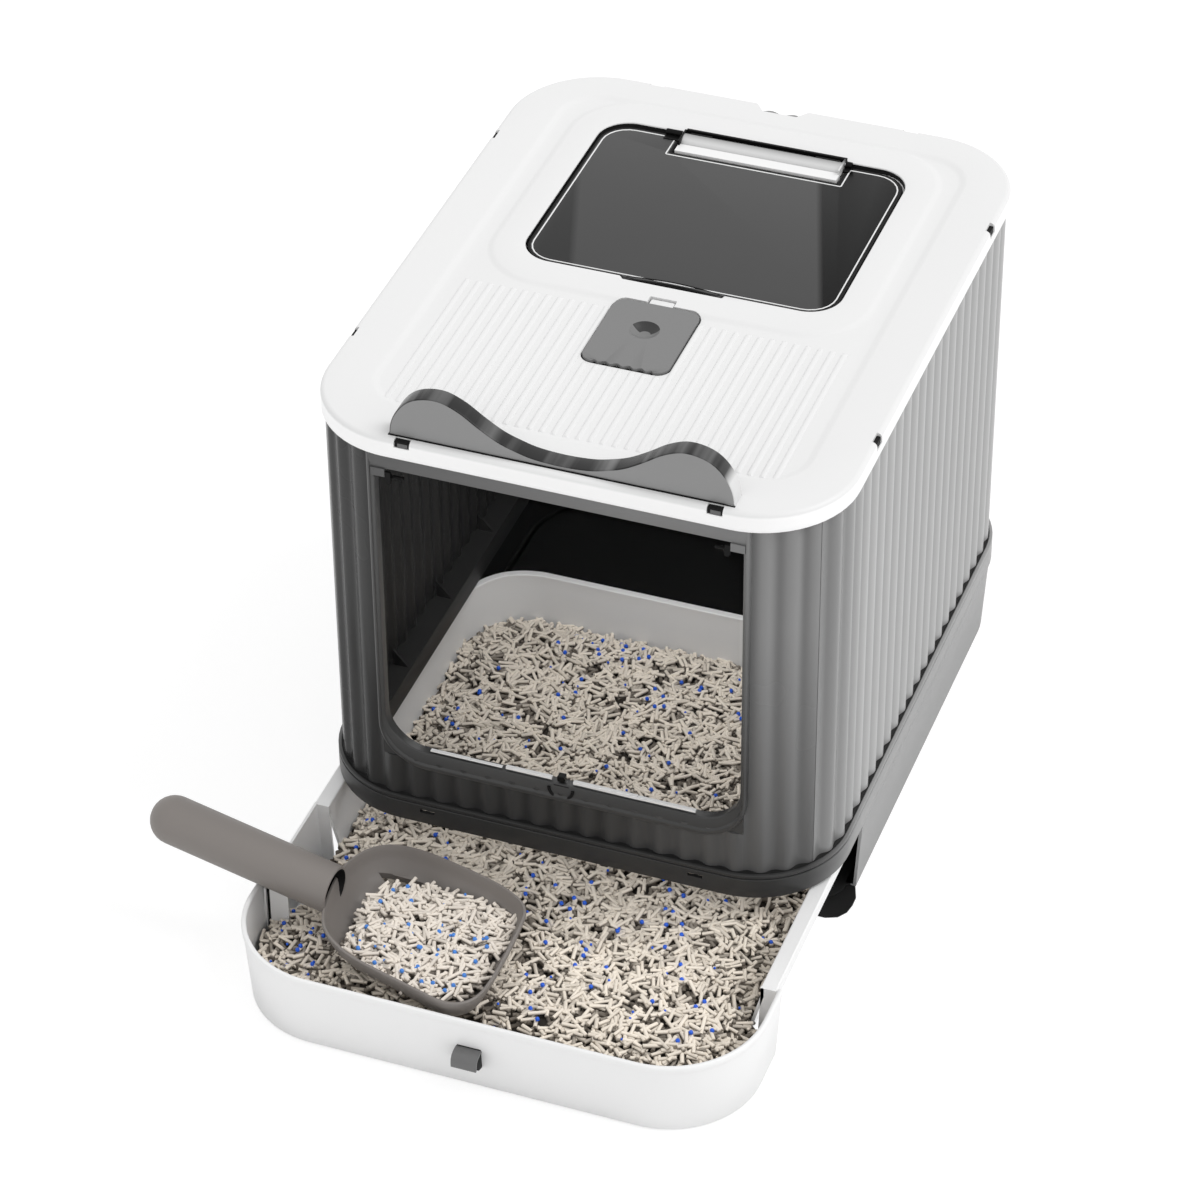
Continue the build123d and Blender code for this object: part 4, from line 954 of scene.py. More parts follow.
hump = [(CREST_END - inwards, height) for inwards, height in CREST_HUMP]
crest_line = smooth_line(hump + [(0, CREST_MIDDLE)] + [(-x, z) for x, z in hump[::-1]], 5, closed=False)
crest_line[:, 1] = np.maximum(crest_line[:, 1], 0) + TOP
crest_line[:, 0] = (crest_line[:, 0] + CREST_END) * CREST_STRETCH - CREST_END
crest_points, crest_faces = slab(crest_line, -(FRONT + CREST_BACK), -(FRONT + CREST_FRONT), CREST_ROUND,
                                 CREST_ROUND)
crest_points = np.stack([crest_points[:, 0], -crest_points[:, 2], crest_points[:, 1]], -1)
crest_face = moulded("crest plastic", grey(0.27), 0.38, coat=0.1)
# Painted highlight: the top turns pale at its right end.
crest_top = moulded("crest top", grey(0.30), 0.25, mottle=0.9, deep=0.08, stretch=(9, 0.3, 3), shine=0.2,
                    fades=(("X", 125, 129.5, grey(0.70)),))
crest_foot = rectangle(-CREST_END - 0.6, CREST_END + 4.6, CREST_FRONT - 1.0, CREST_FRONT + 6)
# A near-black strip of painted shadow along the crest's foot.
crest_foot_shadow = slab(crest_foot, TOP - 0.2, TOP + 0.35)
piece("crest_bar", [(crest_points, crest_faces, [1, 0, 0]), (*crest_foot_shadow, 2)],
      [crest_face, crest_top, painted_shade], "housing", "crest", smooth=40)


# Window flap: a smoked polystyrene plate that hangs on two knuckles at the back. A thin white bead paints the
# highlight of its polished cut edge, a near-black bead round it paints the shade of its gap, and a lip in
# front is for the finger that lifts it.
FLAP_LOW = 421.3
FLAP_HIGH = 423.8
FLAP_HALF = 124.9
FLAP_FRONT = 255.1
FLAP_BACK = 457.2
FLAP_CORNER = 25.0
FLAP_NOTCH = (-63.0, 73.2, 432.6)
HINGE_Y = 457.2
HINGE_RADIUS = 2.5
KNUCKLES = ((-76.0, -62.6), (72.4, 77.4))
LIP_HALF = 37.5
LIP_FRONT = 251.3
LIP_BOW = 4.2
EDGE_LINE = 3.9
EDGE_BEAD = 0.6
BAND_DIRECTION = (0.95, 0.311)
# The plate is nearly opaque: its colour paints in the dark cabin seen through it, and the bands are painted
# reflections of lamps.
SMOKE_MIDDLE = grey(0.071)
SMOKE_BANDS = ((106, 111, grey(0.006)), (-76, -82, grey(0.036)))
SMOKE_ALPHA = 0.955


def rounded_line(corners, steps=7):
    """Closed line through (x, y, radius) corners: an arc that touches both sides stands for each corner."""
    corners = np.asarray(corners, float)
    points = []
    for before, here, after in zip(np.roll(corners, 1, 0), corners, np.roll(corners, -1, 0)):
        p, radius = here[:2], here[2]
        u, v = before[:2] - p, after[:2] - p
        u, v = u / np.linalg.norm(u), v / np.linalg.norm(v)
        half_angle = math.acos(max(-1, min(1, float(u @ v)))) / 2
        if radius == 0:
            points.append(p)
            continue
        centre = p + (u + v) / np.linalg.norm(u + v) * radius / math.sin(half_angle)
        a, b = p + u * radius / math.tan(half_angle) - centre, p + v * radius / math.tan(half_angle) - centre
        sweep = math.pi - 2 * half_angle
        for t in np.linspace(0, 1, steps):
            arc = math.sin((1 - t) * sweep) * a + math.sin(t * sweep) * b
            points.append(centre + arc / math.sin(sweep))
    return np.array(points)


def notched(inset, small=1.2):
    """The flap's outline drawn inwards, with the step for the hinge bracket in its rear edge."""
    half, front, back = FLAP_HALF - inset, FRONT + FLAP_FRONT + inset, FRONT + FLAP_BACK - inset
    left, right, deep = FLAP_NOTCH[0] - inset, FLAP_NOTCH[1] + inset, FRONT + FLAP_NOTCH[2] - inset
    corner = FLAP_CORNER - inset
    return rounded_line([(-half, front, corner), (half, front, corner), (half, back, corner),
                         (right, back, small), (right, deep, small), (left, deep, small), (left, back, small),
                         (-half, back, corner)])


def ribbon(line, z, reach):
    """Thin half-round bead laid along a closed line in a level plane."""
    ahead, behind = np.roll(line, -1, 0), np.roll(line, 1, 0)
    along = (ahead - behind) / np.linalg.norm(ahead - behind, axis=1, keepdims=True)
    across = np.stack([along[:, 1], -along[:, 0]], -1)
    turn = spun(6)
    flat = line[:, None] + across[:, None] * (reach * np.cos(turn))[None, :, None]
    tall = np.broadcast_to((z + 0.5 * reach * np.sin(turn))[None, :, None], flat.shape[:2] + (1,))
    return tube(np.concatenate([flat, tall], 2), joined=True)


def rod(x0, x1, y, z, radius, sides=20):
    """Round bar along X, from its left end to its right one, with a small slope at each end."""
    turn, soft = spun(sides), min(0.4, radius / 4)
    ends = ((x0, radius - soft), (x0 + soft, radius), (x1 - soft, radius), (x1, radius - soft))
    y, x = FRONT + y, np.ones(sides)
    return tube(np.array([np.stack([x * end, y + r * np.cos(turn), z + r * np.sin(turn)], -1)
                          for end, r in ends]))


def smoked_plastic():
    """Smoked plate over a dark cabin, with the soft bands of a photo studio's lamps lying across it."""
    material, nodes, where = finish_nodes("smoked plate")
    across = (nodes.add("SeparateXYZ", output="X", Vector=where) * BAND_DIRECTION[0]
              + nodes.add("SeparateXYZ", output="Y", Vector=where) * BAND_DIRECTION[1])
    streak = nodes.add("TexNoise", Vector=where, Scale=14.0, Detail=2.0)
    shade = SMOKE_MIDDLE
    for start, end, colour in SMOKE_BANDS:
        share = nodes.add("MapRange", Value=across, From_Min=start * MM, From_Max=end * MM)
        shade = nodes.blend(share, shade, colour)
    shader = nodes.add("BsdfPrincipled", Base_Color=shade, Roughness=streak * 0.08 + 0.2,
                       Specular_IOR_Level=0.12, Alpha=streak * 0.03 + SMOKE_ALPHA)
    nodes.add("OutputMaterial", Surface=shader)
    return material


def lip_arc(back):
    """The finger lip's front edge, a shallow arc bowed away from the finger, moved backwards."""
    x = np.linspace(-LIP_HALF, LIP_HALF, 17)
    return np.stack([x, FRONT + LIP_FRONT + back + LIP_BOW * (1 - (x / LIP_HALF) ** 2)], -1)


smoke = smoked_plastic()
# Near-black finish: painted shade in the flap's gap, under its finger lip and on the bracket; also the colour
# of the knuckles and the entry's catch.
near_black = moulded("plate edge", grey(0.006), 0.3, shine=0.1)
flap_edge_highlight = moulded("painted edge highlight", grey(0.85), 0.25)
lip_back = [(LIP_HALF + 4.5, FRONT + 257.5), (-LIP_HALF - 4.5, FRONT + 257.5)]
finger_lip = [slab(np.concatenate([lip_arc(0.2), lip_back]), 423.3, 424.6, 0.3)]
# The two near-black strips along the lip paint the shade of the finger notch under it.
finger_lip += [(*slab(np.concatenate([lip_arc(a), lip_arc(b)[::-1]]), 423.4, 424.8, 0.2), 1)
               for a, b in ((-0.2, 1.4), (3.8, 4.6))]
knuckles = []
for near, far in KNUCKLES:
    knuckles.append((*rod(near, far, HINGE_Y, TOP, HINGE_RADIUS), 1))
    knuckles.append((*block(near, far, HINGE_Y - 8, HINGE_Y, TOP - 3.4, TOP - 1.4), 1))
flap_plate = slab(notched(1.6), FLAP_LOW, FLAP_HIGH, 0.3)
# A near-black bead of painted shade in the flap's gap, and a white bead of painted highlight on its edge.
rim_gap_shade = ribbon(notched(1.4), FLAP_HIGH - 0.7, 1.7)
edge_highlight_bead = ribbon(notched(EDGE_LINE), FLAP_HIGH + 0.05, EDGE_BEAD)
piece("window_flap_plate", [flap_plate, (*rim_gap_shade, 1), (*edge_highlight_bead, 2)] + finger_lip + knuckles,
      [smoke, near_black, flap_edge_highlight], "window", "window_flap", smooth=40)


# Window bracket: the bar at the rear edge of the window that carries the two hinge pins. Its rear cap, low
# rear blocks and left cheek are near-black painted shade, its barrel is painted darker towards the back as
# shade, and its front strip is a paler, frosted moulding.
BRACKET_ENDS = (-61.5, 71.6)
BARREL_RADIUS = 7.6
frosted = moulded("frosted strip", grey(0.86), 0.25, coat=0.2)
# Painted shade: the barrel darkens towards the back.
bracket_grey = moulded("bracket barrel", grey(0.70), 0.25, coat=0.3, shine=0.3,
                       fades=(("Y", FRONT + 448, FRONT + 457.5, grey(0.035)),))
left, right = BRACKET_ENDS
BRACKET_BLOCKS = ((left, right, 434.0, 444.6, 421.0, 425.2, 0), (left, right, 444.0, 460.0, 421.0, 422.6, 2),
                  (left + 1.5, right + 0.5, 459.6, 461.8, 425.0, 429.3, 2),
                  (left + 6, left + 24, 455.4, 457.2, 426.2, 428.7, 2),
                  (right - 24, right - 4, 455.4, 457.2, 426.2, 428.7, 2),
                  (left, left + 1.6, 442.0, 460.0, 421.0, 429.3, 2),
                  (right - 1.6, right, 442.0, 460.0, 421.0, 429.3, 1))
bracket_parts = [(*block(*spot), finish) for *spot, finish in BRACKET_BLOCKS]
bracket_parts.append((*rod(left + 0.8, right - 0.8, 452.8, 421.3, BARREL_RADIUS, 32), 1))
piece("hinge_bracket", bracket_parts, [frosted, bracket_grey, near_black], "housing", "window_bracket",
      smooth=40, bevel=0.4)


# Deodoriser cover: a flat grey lid with a finger dimple. Its front edge is scalloped to meet the lid's ribs,
# and a small white tab behind it slips under the collar.
COVER = (34.0, 142.6, 226.5, 9.8)
COVER_TOP = 425.7
COVER_LOW = 423.1
DIMPLE = 192.0
DIMPLE_RADIUS = 11.5
DIMPLE_DEPTH = 5.0
SHADE_INNER = 4.6
SHADE_SIDE = 0.3
SCALLOP = 2.2
TAB = ((-9.0, 222.0, 0.5), (9.8, 222.0, 0.5), (9.8, 233.2, 1.5), (-9.0, 233.2, 1.5))

cover_line = ring_points(*placed(COVER), arc=8)[:, :2]
front_x = np.linspace(COVER[3] - COVER[0], COVER[0] - COVER[3], 61)
wave = 0.5 - 0.5 * np.cos(2 * math.pi * front_x / RIB_PITCH)
wave *= np.minimum(1, (front_x[-1] - np.abs(front_x)) / 2)
scallops = np.stack([front_x, FRONT + COVER[1] + SCALLOP * wave], -1)
cover_line = np.concatenate([cover_line, scallops[1:-1]])
cover_mid = cover_line.mean(0)


def cover_height(x, y):
    """Top of the cover: flat with a rounded edge, and a ball-shaped dimple."""
    ball = (DIMPLE_RADIUS ** 2 + DIMPLE_DEPTH ** 2) / (2 * DIMPLE_DEPTH)
    away = np.hypot(x, y - FRONT - DIMPLE)
    dip = np.sqrt(np.maximum(ball ** 2 - away ** 2, 0)) - (ball - DIMPLE_DEPTH)
    near = np.min(np.hypot(x[:, None] - cover_line[:, 0], y[:, None] - cover_line[:, 1]), 1)
    return COVER_TOP - np.where(away < DIMPLE_RADIUS, dip, 0) - rounding(near, 0.5)


def cover_under(x, y):
    """Underside of the cover, lower where the dimple's boss is."""
    away = np.hypot(x, y - FRONT - DIMPLE)
    return np.where(away < DIMPLE_RADIUS + 0.9, COVER_TOP - DIMPLE_DEPTH - 0.8, COVER_LOW)


turn = spun(36)
rings = [np.stack([r * np.cos(turn), FRONT + DIMPLE + r * np.sin(turn)], -1)
         for r in (12.5, 12.3, DIMPLE_RADIUS, 10.5, 9, 7, 4.5, 2)]
shrunk = [cover_line + (cover_mid - cover_line) * k for k in (0.006, 0.018)]
cover_plastic = moulded("cover plastic", grey(0.195), 0.42, coat=0.05)
dimple_shade = moulded("dimple shade", grey(0.05), 0.4, shine=0.2)
tab = slab(rounded_line([(x, FRONT + y, corner) for x, y, corner in TAB], 4), COVER_LOW, COVER_TOP - 0.6, 0.6)
cover_points, cover_sets = plate(cover_line, [], rings + shrunk, cover_height, cover_under)
centre = cover_points[cover_sets[0]].mean(1)[:, :2] - (0, FRONT + DIMPLE)
away = np.hypot(*centre.T)
shady = (away < DIMPLE_RADIUS) & (away > SHADE_INNER) & (centre[:, 1] > SHADE_SIDE * away)
cover_sets = [cover_sets[0][~shady], cover_sets[0][shady], *cover_sets[1:]]
piece("deodoriser_lid", [(cover_points, cover_sets, [0, 2, 0, 0]), (*tab, 1)],
      [cover_plastic, white_plastic, dimple_shade], "cover",
      "deodoriser_cover", smooth=38)


# Entry flap: a clear plate that hangs in the entry from a barrel along its top. Its lower edge is thicker and
# polished, and white bars paint its highlight on each side of the dark catch that meets the sill's magnet.
PLATE_FRONT = 5.8
PLATE_BACK = 8.2
PLATE_HALF = 138.0
PLATE_LOW = 136.0
PLATE_CORNER = 30.0
SHOULDER = 377.0
BARREL = 3.6
BARREL_END = 127.0
AXIS_Y = 7.0
AXIS_Z = 388.0
CLEAR_ALPHA = 0.02
EDGE_HIGHLIGHT_BARS = ((-106, -74, 1.0), (-74, -48, 0.5), (-45, -8, 2.2), (9, 60, 2.4), (60, 106, 1.9))
CATCH = (-3.4, 2.4, 4.8, 10.2, 136.0, 141.0)


def clear_plastic(name, colour):
    """See-through plastic: mostly clear, with a glossy skin and faint upright draw lines in its thickness."""
    material, nodes, where = finish_nodes(name)
    stretched = nodes.add("Mapping", Vector=where, Scale=(40.0, 1.5, 1.5))
    streak = nodes.add("TexNoise", Vector=stretched, Scale=2.0, Detail=3.0)
    shade = nodes.blend(streak, tuple(c * 0.85 for c in colour), tuple(c * 1.15 for c in colour))
    shader = nodes.add("BsdfPrincipled", Base_Color=shade, Roughness=streak * 0.05 + 0.05,
                       Specular_IOR_Level=0.3, Alpha=streak * CLEAR_ALPHA * 0.4 + CLEAR_ALPHA * 0.8)
    nodes.add("OutputMaterial", Surface=shader)
    return material


glassy = clear_plastic("clear plate", grey(0.03))
# Painted highlight: opaque white bars stand for the light on the flap's polished lower edge.
entry_edge_highlight = moulded("painted highlight on clear edge", (0.82, 0.82, 0.82), 0.1, coat=0.8)
plate_rows = ((0.3, PLATE_FRONT), (0, PLATE_FRONT + 0.3), (0, PLATE_BACK - 0.3), (0.3, PLATE_BACK))
plate_loops = [portal(PLATE_HALF - inset, PLATE_LOW + inset, SHOULDER, PLATE_CORNER, y)
               for inset, y in plate_rows]
entry_parts = [tube(np.array(plate_loops)), rod(-BARREL_END, BARREL_END, AXIS_Y, AXIS_Z, BARREL - 0.6),
               block(-BARREL_END, BARREL_END, PLATE_FRONT, PLATE_BACK, SHOULDER - 0.5, AXIS_Z)]
entry_parts += [(*block(x0, x1, PLATE_FRONT - 0.4, PLATE_BACK + 0.3, PLATE_LOW, PLATE_LOW + high), 1)
                for x0, x1, high in EDGE_HIGHLIGHT_BARS]
piece("entry_plate", entry_parts, [glassy, entry_edge_highlight], "entry", "entry_flap", bevel=0.3)
piece("entry_catch", [block(*CATCH)], [near_black], "entry", "flap_magnet", bevel=0.4)


# Drawer front: a white curved fascia, moulded with a rolled lip along its top, that closes the housing's
# front when the drawer is in. It leans in towards the floor, and a foot inside it carries the tray's floor.
FASCIA_HALF = 205.5
FASCIA_CORNER = 76.5
FASCIA_WALL = 3.0
FASCIA_TOP = 67.0
FASCIA_LOW = 1.0
FASCIA_LEAN = math.tan(math.radians(4.3))
FASCIA_FRONT = -194.5
FASCIA_END = -84.4
LIP = 1.5

fascia_spot = (FASCIA_HALF, FRONT + FASCIA_FRONT, BACK, FASCIA_CORNER)
fascia_at = knots(*fascia_spot)
end_s = fascia_at[2] + FASCIA_END - FASCIA_FRONT - FASCIA_CORNER
fascia_bend = np.linspace(fascia_at[1], fascia_at[2], 25)[1:]
fascia_half = np.concatenate([[fascia_at[1] / 2, fascia_at[1]], fascia_bend, [end_s - 2.0, end_s]])
fascia_s = np.concatenate([-fascia_half[::-1], [0], fascia_half])
deep = (FASCIA_TOP - FASCIA_LOW) * FASCIA_LEAN
fascia_section = [(-deep - 0.5, FASCIA_LOW), (-deep, FASCIA_LOW + 0.6),
                  (-8 * FASCIA_LEAN - 0.5, FASCIA_TOP - 8.0), (-1.2, FASCIA_TOP - 6.0),
                  (-0.9, FASCIA_TOP - 5.4), (-0.15, FASCIA_TOP - 4.6),
                  (0.0, FASCIA_TOP - 2.2), (-0.25, FASCIA_TOP - 0.9), (-0.9, FASCIA_TOP - 0.2),
                  (-LIP - 0.3, FASCIA_TOP), (-FASCIA_WALL - 0.2, FASCIA_TOP - 0.25),
                  (-FASCIA_WALL - 0.9, FASCIA_TOP - 1.0), (-FASCIA_WALL - 1.1, FASCIA_TOP - 2.6),
                  (-FASCIA_WALL - 0.6, FASCIA_TOP - 4.5), (-FASCIA_WALL - 8 * FASCIA_LEAN, FASCIA_TOP - 8.0),
                  (-FASCIA_WALL - deep, FASCIA_LOW)]
core, out = outline(fascia_s, *fascia_spot)
fascia = tube(swept(fascia_section, core, out, FASCIA_CORNER))
foot_outer, foot_inner = (drawn(fascia_s[8:-8], fascia_spot, reach - FASCIA_WALL - deep)
                          for reach in (1, -24))
foot_plate = slab(np.concatenate([foot_outer, foot_inner[::-1]]), FASCIA_LOW, FASCIA_LOW + 1.9)
drawer_white = moulded("drawer plastic", grey(0.88), 0.40, coat=0.05, mottle=0.02)
piece("drawer_fascia", [fascia, foot_plate], [drawer_white], "drawer", "drawer_front",
      smooth=38)


# Drawer tray: the white tub that holds the litter. Its walls lean in towards the floor and its rear rim is
# raised. Its sides fold out to the fascia in front, and flanges along its sides run in the base.
TRAY_HALF = 191.0
TRAY_WALL = 2.5
TRAY_FRONT = -104.0
TRAY_STARTS = (-3.0, -86.0)
TRAY_LEAN = 14.0
LEAN_TOP = 57.0
TRAY_END = 319.0
TRAY_CORNER = 62.0
TRAY_LOW = 2.9
TRAY_FLOOR = 5.4
TRAY_RIM = 65.5
RIM_RISE = 4.2
POCKET_HALF = 197.3
POCKET_LEAN = 3.1
POCKET_WALL = 2.2
POCKET_FRONT = (-195.6, -180.6, -104.0, -101.8, 4.9, 65.0)
POCKET_SLIT_SHADE = (-198.0, -195.9, -103.4, -102.0, 5.4, 64.0)
RIM_LIP = 3.5
FLANGE_HALF = 200.66
FLANGE_LOW = 55.5
FLANGE_START = -84.1
FLANGE_END = 257.0
BEYOND = 400.0

tray_spot = (TRAY_HALF, FRONT - BEYOND, FRONT + TRAY_END, TRAY_CORNER)
tray_at = knots(*tray_spot)
start_left, start_right = (tray_at[2] + y + BEYOND - TRAY_CORNER for y in TRAY_STARTS)
tray_half_s = np.concatenate([np.linspace(tray_at[3] - 40, tray_at[3], 6),
                              np.linspace(tray_at[3], tray_at[4], 21)[1:], [tray_at[-1] / 2 - 70]])
tray_s = np.concatenate([[start_right], tray_half_s, tray_at[-1] - tray_half_s[::-1],
                         [tray_at[-1] - start_left]])
core, out = outline(tray_s, *tray_spot)
turned = np.minimum(tray_s, tray_at[-1] - tray_s)
lift = ease((turned - tray_at[3] - 8) / 55)
reach = RIM_LIP * ease((turned - tray_at[3] + 10) / 40)


def tray_section(rise, lip):
    """The tray wall's section: it leans in towards the floor, and its top is rolled outwards over the lip."""
    top = TRAY_RIM + RIM_RISE * rise
    return [(-TRAY_LEAN, TRAY_LOW), (0, LEAN_TOP), (0, top - 3.5), (lip * 0.6, top - 3.0), (lip, top - 2.0),
            (lip, top - 0.8), (lip - 0.5, top - 0.2), (lip * 0.4 - 0.6, top), (-TRAY_WALL + 0.6, top - 0.15),
            (-TRAY_WALL, top - 0.9), (-TRAY_WALL, LEAN_TOP), (-TRAY_WALL - TRAY_LEAN, TRAY_LOW)]


sections = np.array([tray_section(a, b) for a, b in zip(lift, reach)])
flat = core[:, None] + (TRAY_CORNER + sections[..., 0])[..., None] * out[:, None]
tray_wall = tube(np.concatenate([flat, sections[..., 1:]], 2))
tray_floor_back = drawn(tray_s, tray_spot, -1 - TRAY_LEAN)
tray_floor_front = drawn(fascia_s[4:-4], fascia_spot, 0.6 - FASCIA_WALL - deep)
tray_floor_front = tray_floor_front[tray_floor_front[:, 1] < FRONT - 88]
beside = [(-POCKET_HALF, FRONT + TRAY_STARTS[0]), (-POCKET_HALF, FRONT - 87)]
tray_floor = slab(np.concatenate([tray_floor_back, beside, tray_floor_front]), TRAY_LOW, TRAY_FLOOR)
flanges = []
for side, start in ((-1, TRAY_STARTS[0]), (1, FLANGE_START)):
    hook = [(TRAY_HALF - 1, TRAY_RIM - 2.0), (FLANGE_HALF - 2, TRAY_RIM - 2.0), (FLANGE_HALF - 2, FLANGE_LOW),
            (FLANGE_HALF, FLANGE_LOW), (FLANGE_HALF, TRAY_RIM - 1.0), (FLANGE_HALF - 1.0, TRAY_RIM),
            (TRAY_HALF - 1, TRAY_RIM)]
    fold = [(TRAY_HALF - TRAY_WALL - 2, TRAY_FLOOR - 1), (TRAY_HALF - TRAY_WALL, LEAN_TOP),
            (TRAY_HALF - TRAY_WALL, TRAY_RIM - 0.1), (200.4, TRAY_RIM - 0.1), (197.8, TRAY_FLOOR - 1)]
    flanges.append(rail([(side * x, z) for x, z in hook], start, FLANGE_END))
    flanges.append(rail([(side * x, z) for x, z in fold], start - 1.9, start + 0.4))
pocket_side = [(-FLANGE_HALF + x, z) for x, z in
               ((POCKET_LEAN, TRAY_LOW), (0, TRAY_RIM - 3.5), (0, TRAY_RIM), (POCKET_WALL, TRAY_RIM),
                (POCKET_WALL, TRAY_RIM - 3.5), (POCKET_WALL + POCKET_LEAN, TRAY_LOW))]
flanges.append(rail(pocket_side, FLANGE_START, TRAY_STARTS[0] + 0.3))
flanges.append(block(-FLANGE_HALF + 0.2, -FLANGE_HALF + 2.0, TRAY_FRONT, FLANGE_START + 0.3, TRAY_LOW,
                     TRAY_RIM - 4))
flanges.append(block(*POCKET_FRONT))
tray_white = moulded("tray plastic", grey(0.88), 0.42, coat=0.1, mottle=0.03)
# The slit beside the pocket is a thin block of near-black painted shade.
piece("litter_tray", [tray_wall, tray_floor, (*block(*POCKET_SLIT_SHADE), 1)] + flanges, [tray_white, painted_shade],
      "drawer", "drawer_tray", smooth=38)


# Pull tab: a short strip of grey plastic that runs out from the drawer's front and curls down at its end,
# hollow below for two fingers. A near-black body fills that hollow as painted shade.
TAB_HALF = 10.0
TAB_LINE = [(-190.8, 39.6), (-195.0, 39.9), (-199.0, 39.6), (-201.8, 38.4), (-203.6, 36.0), (-204.2, 32.8),
            (-204.2, 28.6)]
TAB_UNDER = [(-202.4, 28.6), (-202.2, 32.6), (-201.4, 35.4), (-199.4, 37.2), (-195.0, 37.8), (-190.8, 37.6)]
TAB_SHADE_FILL = [(-190.8, 40.6), (-192.2, 40.6), (-192.4, 37.4), (-199.2, 36.9), (-201.6, 34.6), (-202.0, 29.0),
            (-197.0, 24.0), (-190.8, 22.0)]

tab_plastic = moulded("tab plastic", grey(0.15), 0.35, coat=0.1, shine=0.3)
pull_parts = []
for section, half, finish in ((TAB_LINE + TAB_UNDER, TAB_HALF, 0), (TAB_SHADE_FILL, TAB_HALF - 0.5, 1)):
    points, faces = slab(section, -half, half, 0.3, 0.3)
    pull_parts.append((np.stack([points[:, 2], FRONT + points[:, 0], points[:, 1]], -1), faces, finish))
piece("pull_tab", pull_parts, [tab_plastic, painted_shade], "drawer", "drawer_pull_tab",
      smooth=40)


# Scoop: a warm grey moulded bowl with a slotted floor, rounded up to a thin rim, and a hollow round handle
# whose open end meets the bowl's heel.
RIM = [(-0.3, -27.5), (-6.0, -3.1), (-8.0, 24.6), (-3.5, 44.0), (6.0, 58.6), (21.0, 66.8), (40.5, 67.8),
       (61.4, 64.6), (89.8, 57.9), (112.0, 51.1), (129.0, 42.8), (139.0, 33.5), (143.2, 18.6),
       (145.0, -18.5), (144.3, -48.2), (141.5, -67.4), (135.0, -77.9), (125.0, -82.9), (112.0, -82.2),
       (90.0, -76.4), (63.9, -69.4), (39.1, -61.8), (22.6, -53.4), (8.7, -41.9)]
ROOT = np.array([-140.0, FRONT - 104.6, 77.4])
SCOOP_LOW = 47.0
BOWL_IN = ([0, 0.5, 1.9, 2.6, 5, 9, 14, 20, 28, 90], [74.5, 75, 75, 73.6, 66.5, 60, 55, 51.6, 49.6, 49.4])
BOWL_UNDER = ([0, 1.5, 4.5, 8.5, 13, 19, 26, 90], [72.8, 68, 61, 55, 50.6, 48.0, 47.0, 47.0])
BOWL_LINES = (0.5, 1.5, 1.9, 2.6, 3.6, 5, 6.5, 8.5, 11, 14, 17, 20, 24, 28)
SLOTS = ((50.0, 13.0, 52.0), (25.5, 11.5, 116.0), (-3.0, 12.0, 118.0), (-34.0, 15.0, 116.0))
SLOT_WIDTH = 8.0
GRIP_END = np.array([-135.0, 10.1, 22.6])
GRIP_RADIUS = 19.0
GRIP_BORE = 16.5
GRIP_SLANT = (-1.0, 2.5)

rim_line = smooth_line(RIM, 4) + ROOT[:2]
bowl_middle = np.mean(RIM, 0) + ROOT[:2]
rim_turn = np.arctan2(*(rim_line - bowl_middle).T[::-1])
rim_reach = np.hypot(*(rim_line - bowl_middle).T)
order = np.argsort(rim_turn)


def bowl_inset(x, y):
    """How far inwards from the rim each point lies, measured along its ray from the bowl's middle."""
    x, y = x - bowl_middle[0], y - bowl_middle[1]
    return np.interp(np.arctan2(y, x), rim_turn[order], rim_reach[order], period=2 * math.pi) - np.hypot(x, y)


def rim_inset(inset):
    """The rim line drawn inwards along its rays."""
    return bowl_middle + (rim_line - bowl_middle) * (1 - inset / rim_reach)[:, None]


def bowl_height(profile):
    """A height function that reads a profile of insets and heights at each point's inset."""
    return lambda x, y: np.interp(bowl_inset(x, y), *profile)


slots = []
for aside, near, far in SLOTS:
    ends = ((near, 0), (near + 9, -1), (far - 4, -1), (far, 0), (far - 4, 1), (near + 9, 1))
    slots.append(ROOT[:2] + np.array([(x, aside + side * SLOT_WIDTH / 2) for x, side in ends]))
bowl_lines = [rim_inset(inset) for inset in BOWL_LINES]
bowl = plate(rim_line, slots, bowl_lines, bowl_height(BOWL_IN), bowl_height(BOWL_UNDER))
axis = GRIP_END / np.linalg.norm(GRIP_END)
aside = np.cross(axis, (0, 0, 1))
aside /= np.linalg.norm(aside)
above = np.cross(aside, axis)
turn = spun(40)
spin = aside[None] * np.cos(turn)[:, None] + above[None] * np.sin(turn)[:, None]
long = np.linalg.norm(GRIP_END)
slant = GRIP_SLANT[0] + (GRIP_SLANT[1] - GRIP_SLANT[0]) * (1 + np.sin(turn)) / 2


def grip_skin(radius, lead):
    """Handle surface: a tube from its open end, then a half ball round the far end."""
    cap = np.linspace(0, math.pi / 2 - 0.02, 9)
    along = np.concatenate([[0, 0.5, 30], long + radius * np.sin(cap)])
    reach = np.concatenate([[radius - lead, radius, radius], radius * np.cos(cap)])
    start = np.where(along < 1, 1.0, 0.0)[:, None] * slant[None]
    return ROOT + axis * (along[:, None, None] + start[..., None]) + spin[None] * reach[:, None, None]


grip_out, grip_in = grip_skin(GRIP_RADIUS, 0.4), grip_skin(GRIP_BORE, -0.3)
# The handle's bore is near-black painted shade.
grip = (*shell(grip_out.transpose(1, 0, 2), grip_in.transpose(1, 0, 2), joined=True), [0, 1, 0, 0, 0, 0])
scoop_plastic = moulded("scoop plastic", (0.22, 0.20, 0.186), 0.46, coat=0.05, mottle=0.06)
piece("scoop_body", [bowl, grip], [scoop_plastic, painted_shade], "scoop", "scoop", smooth=35)


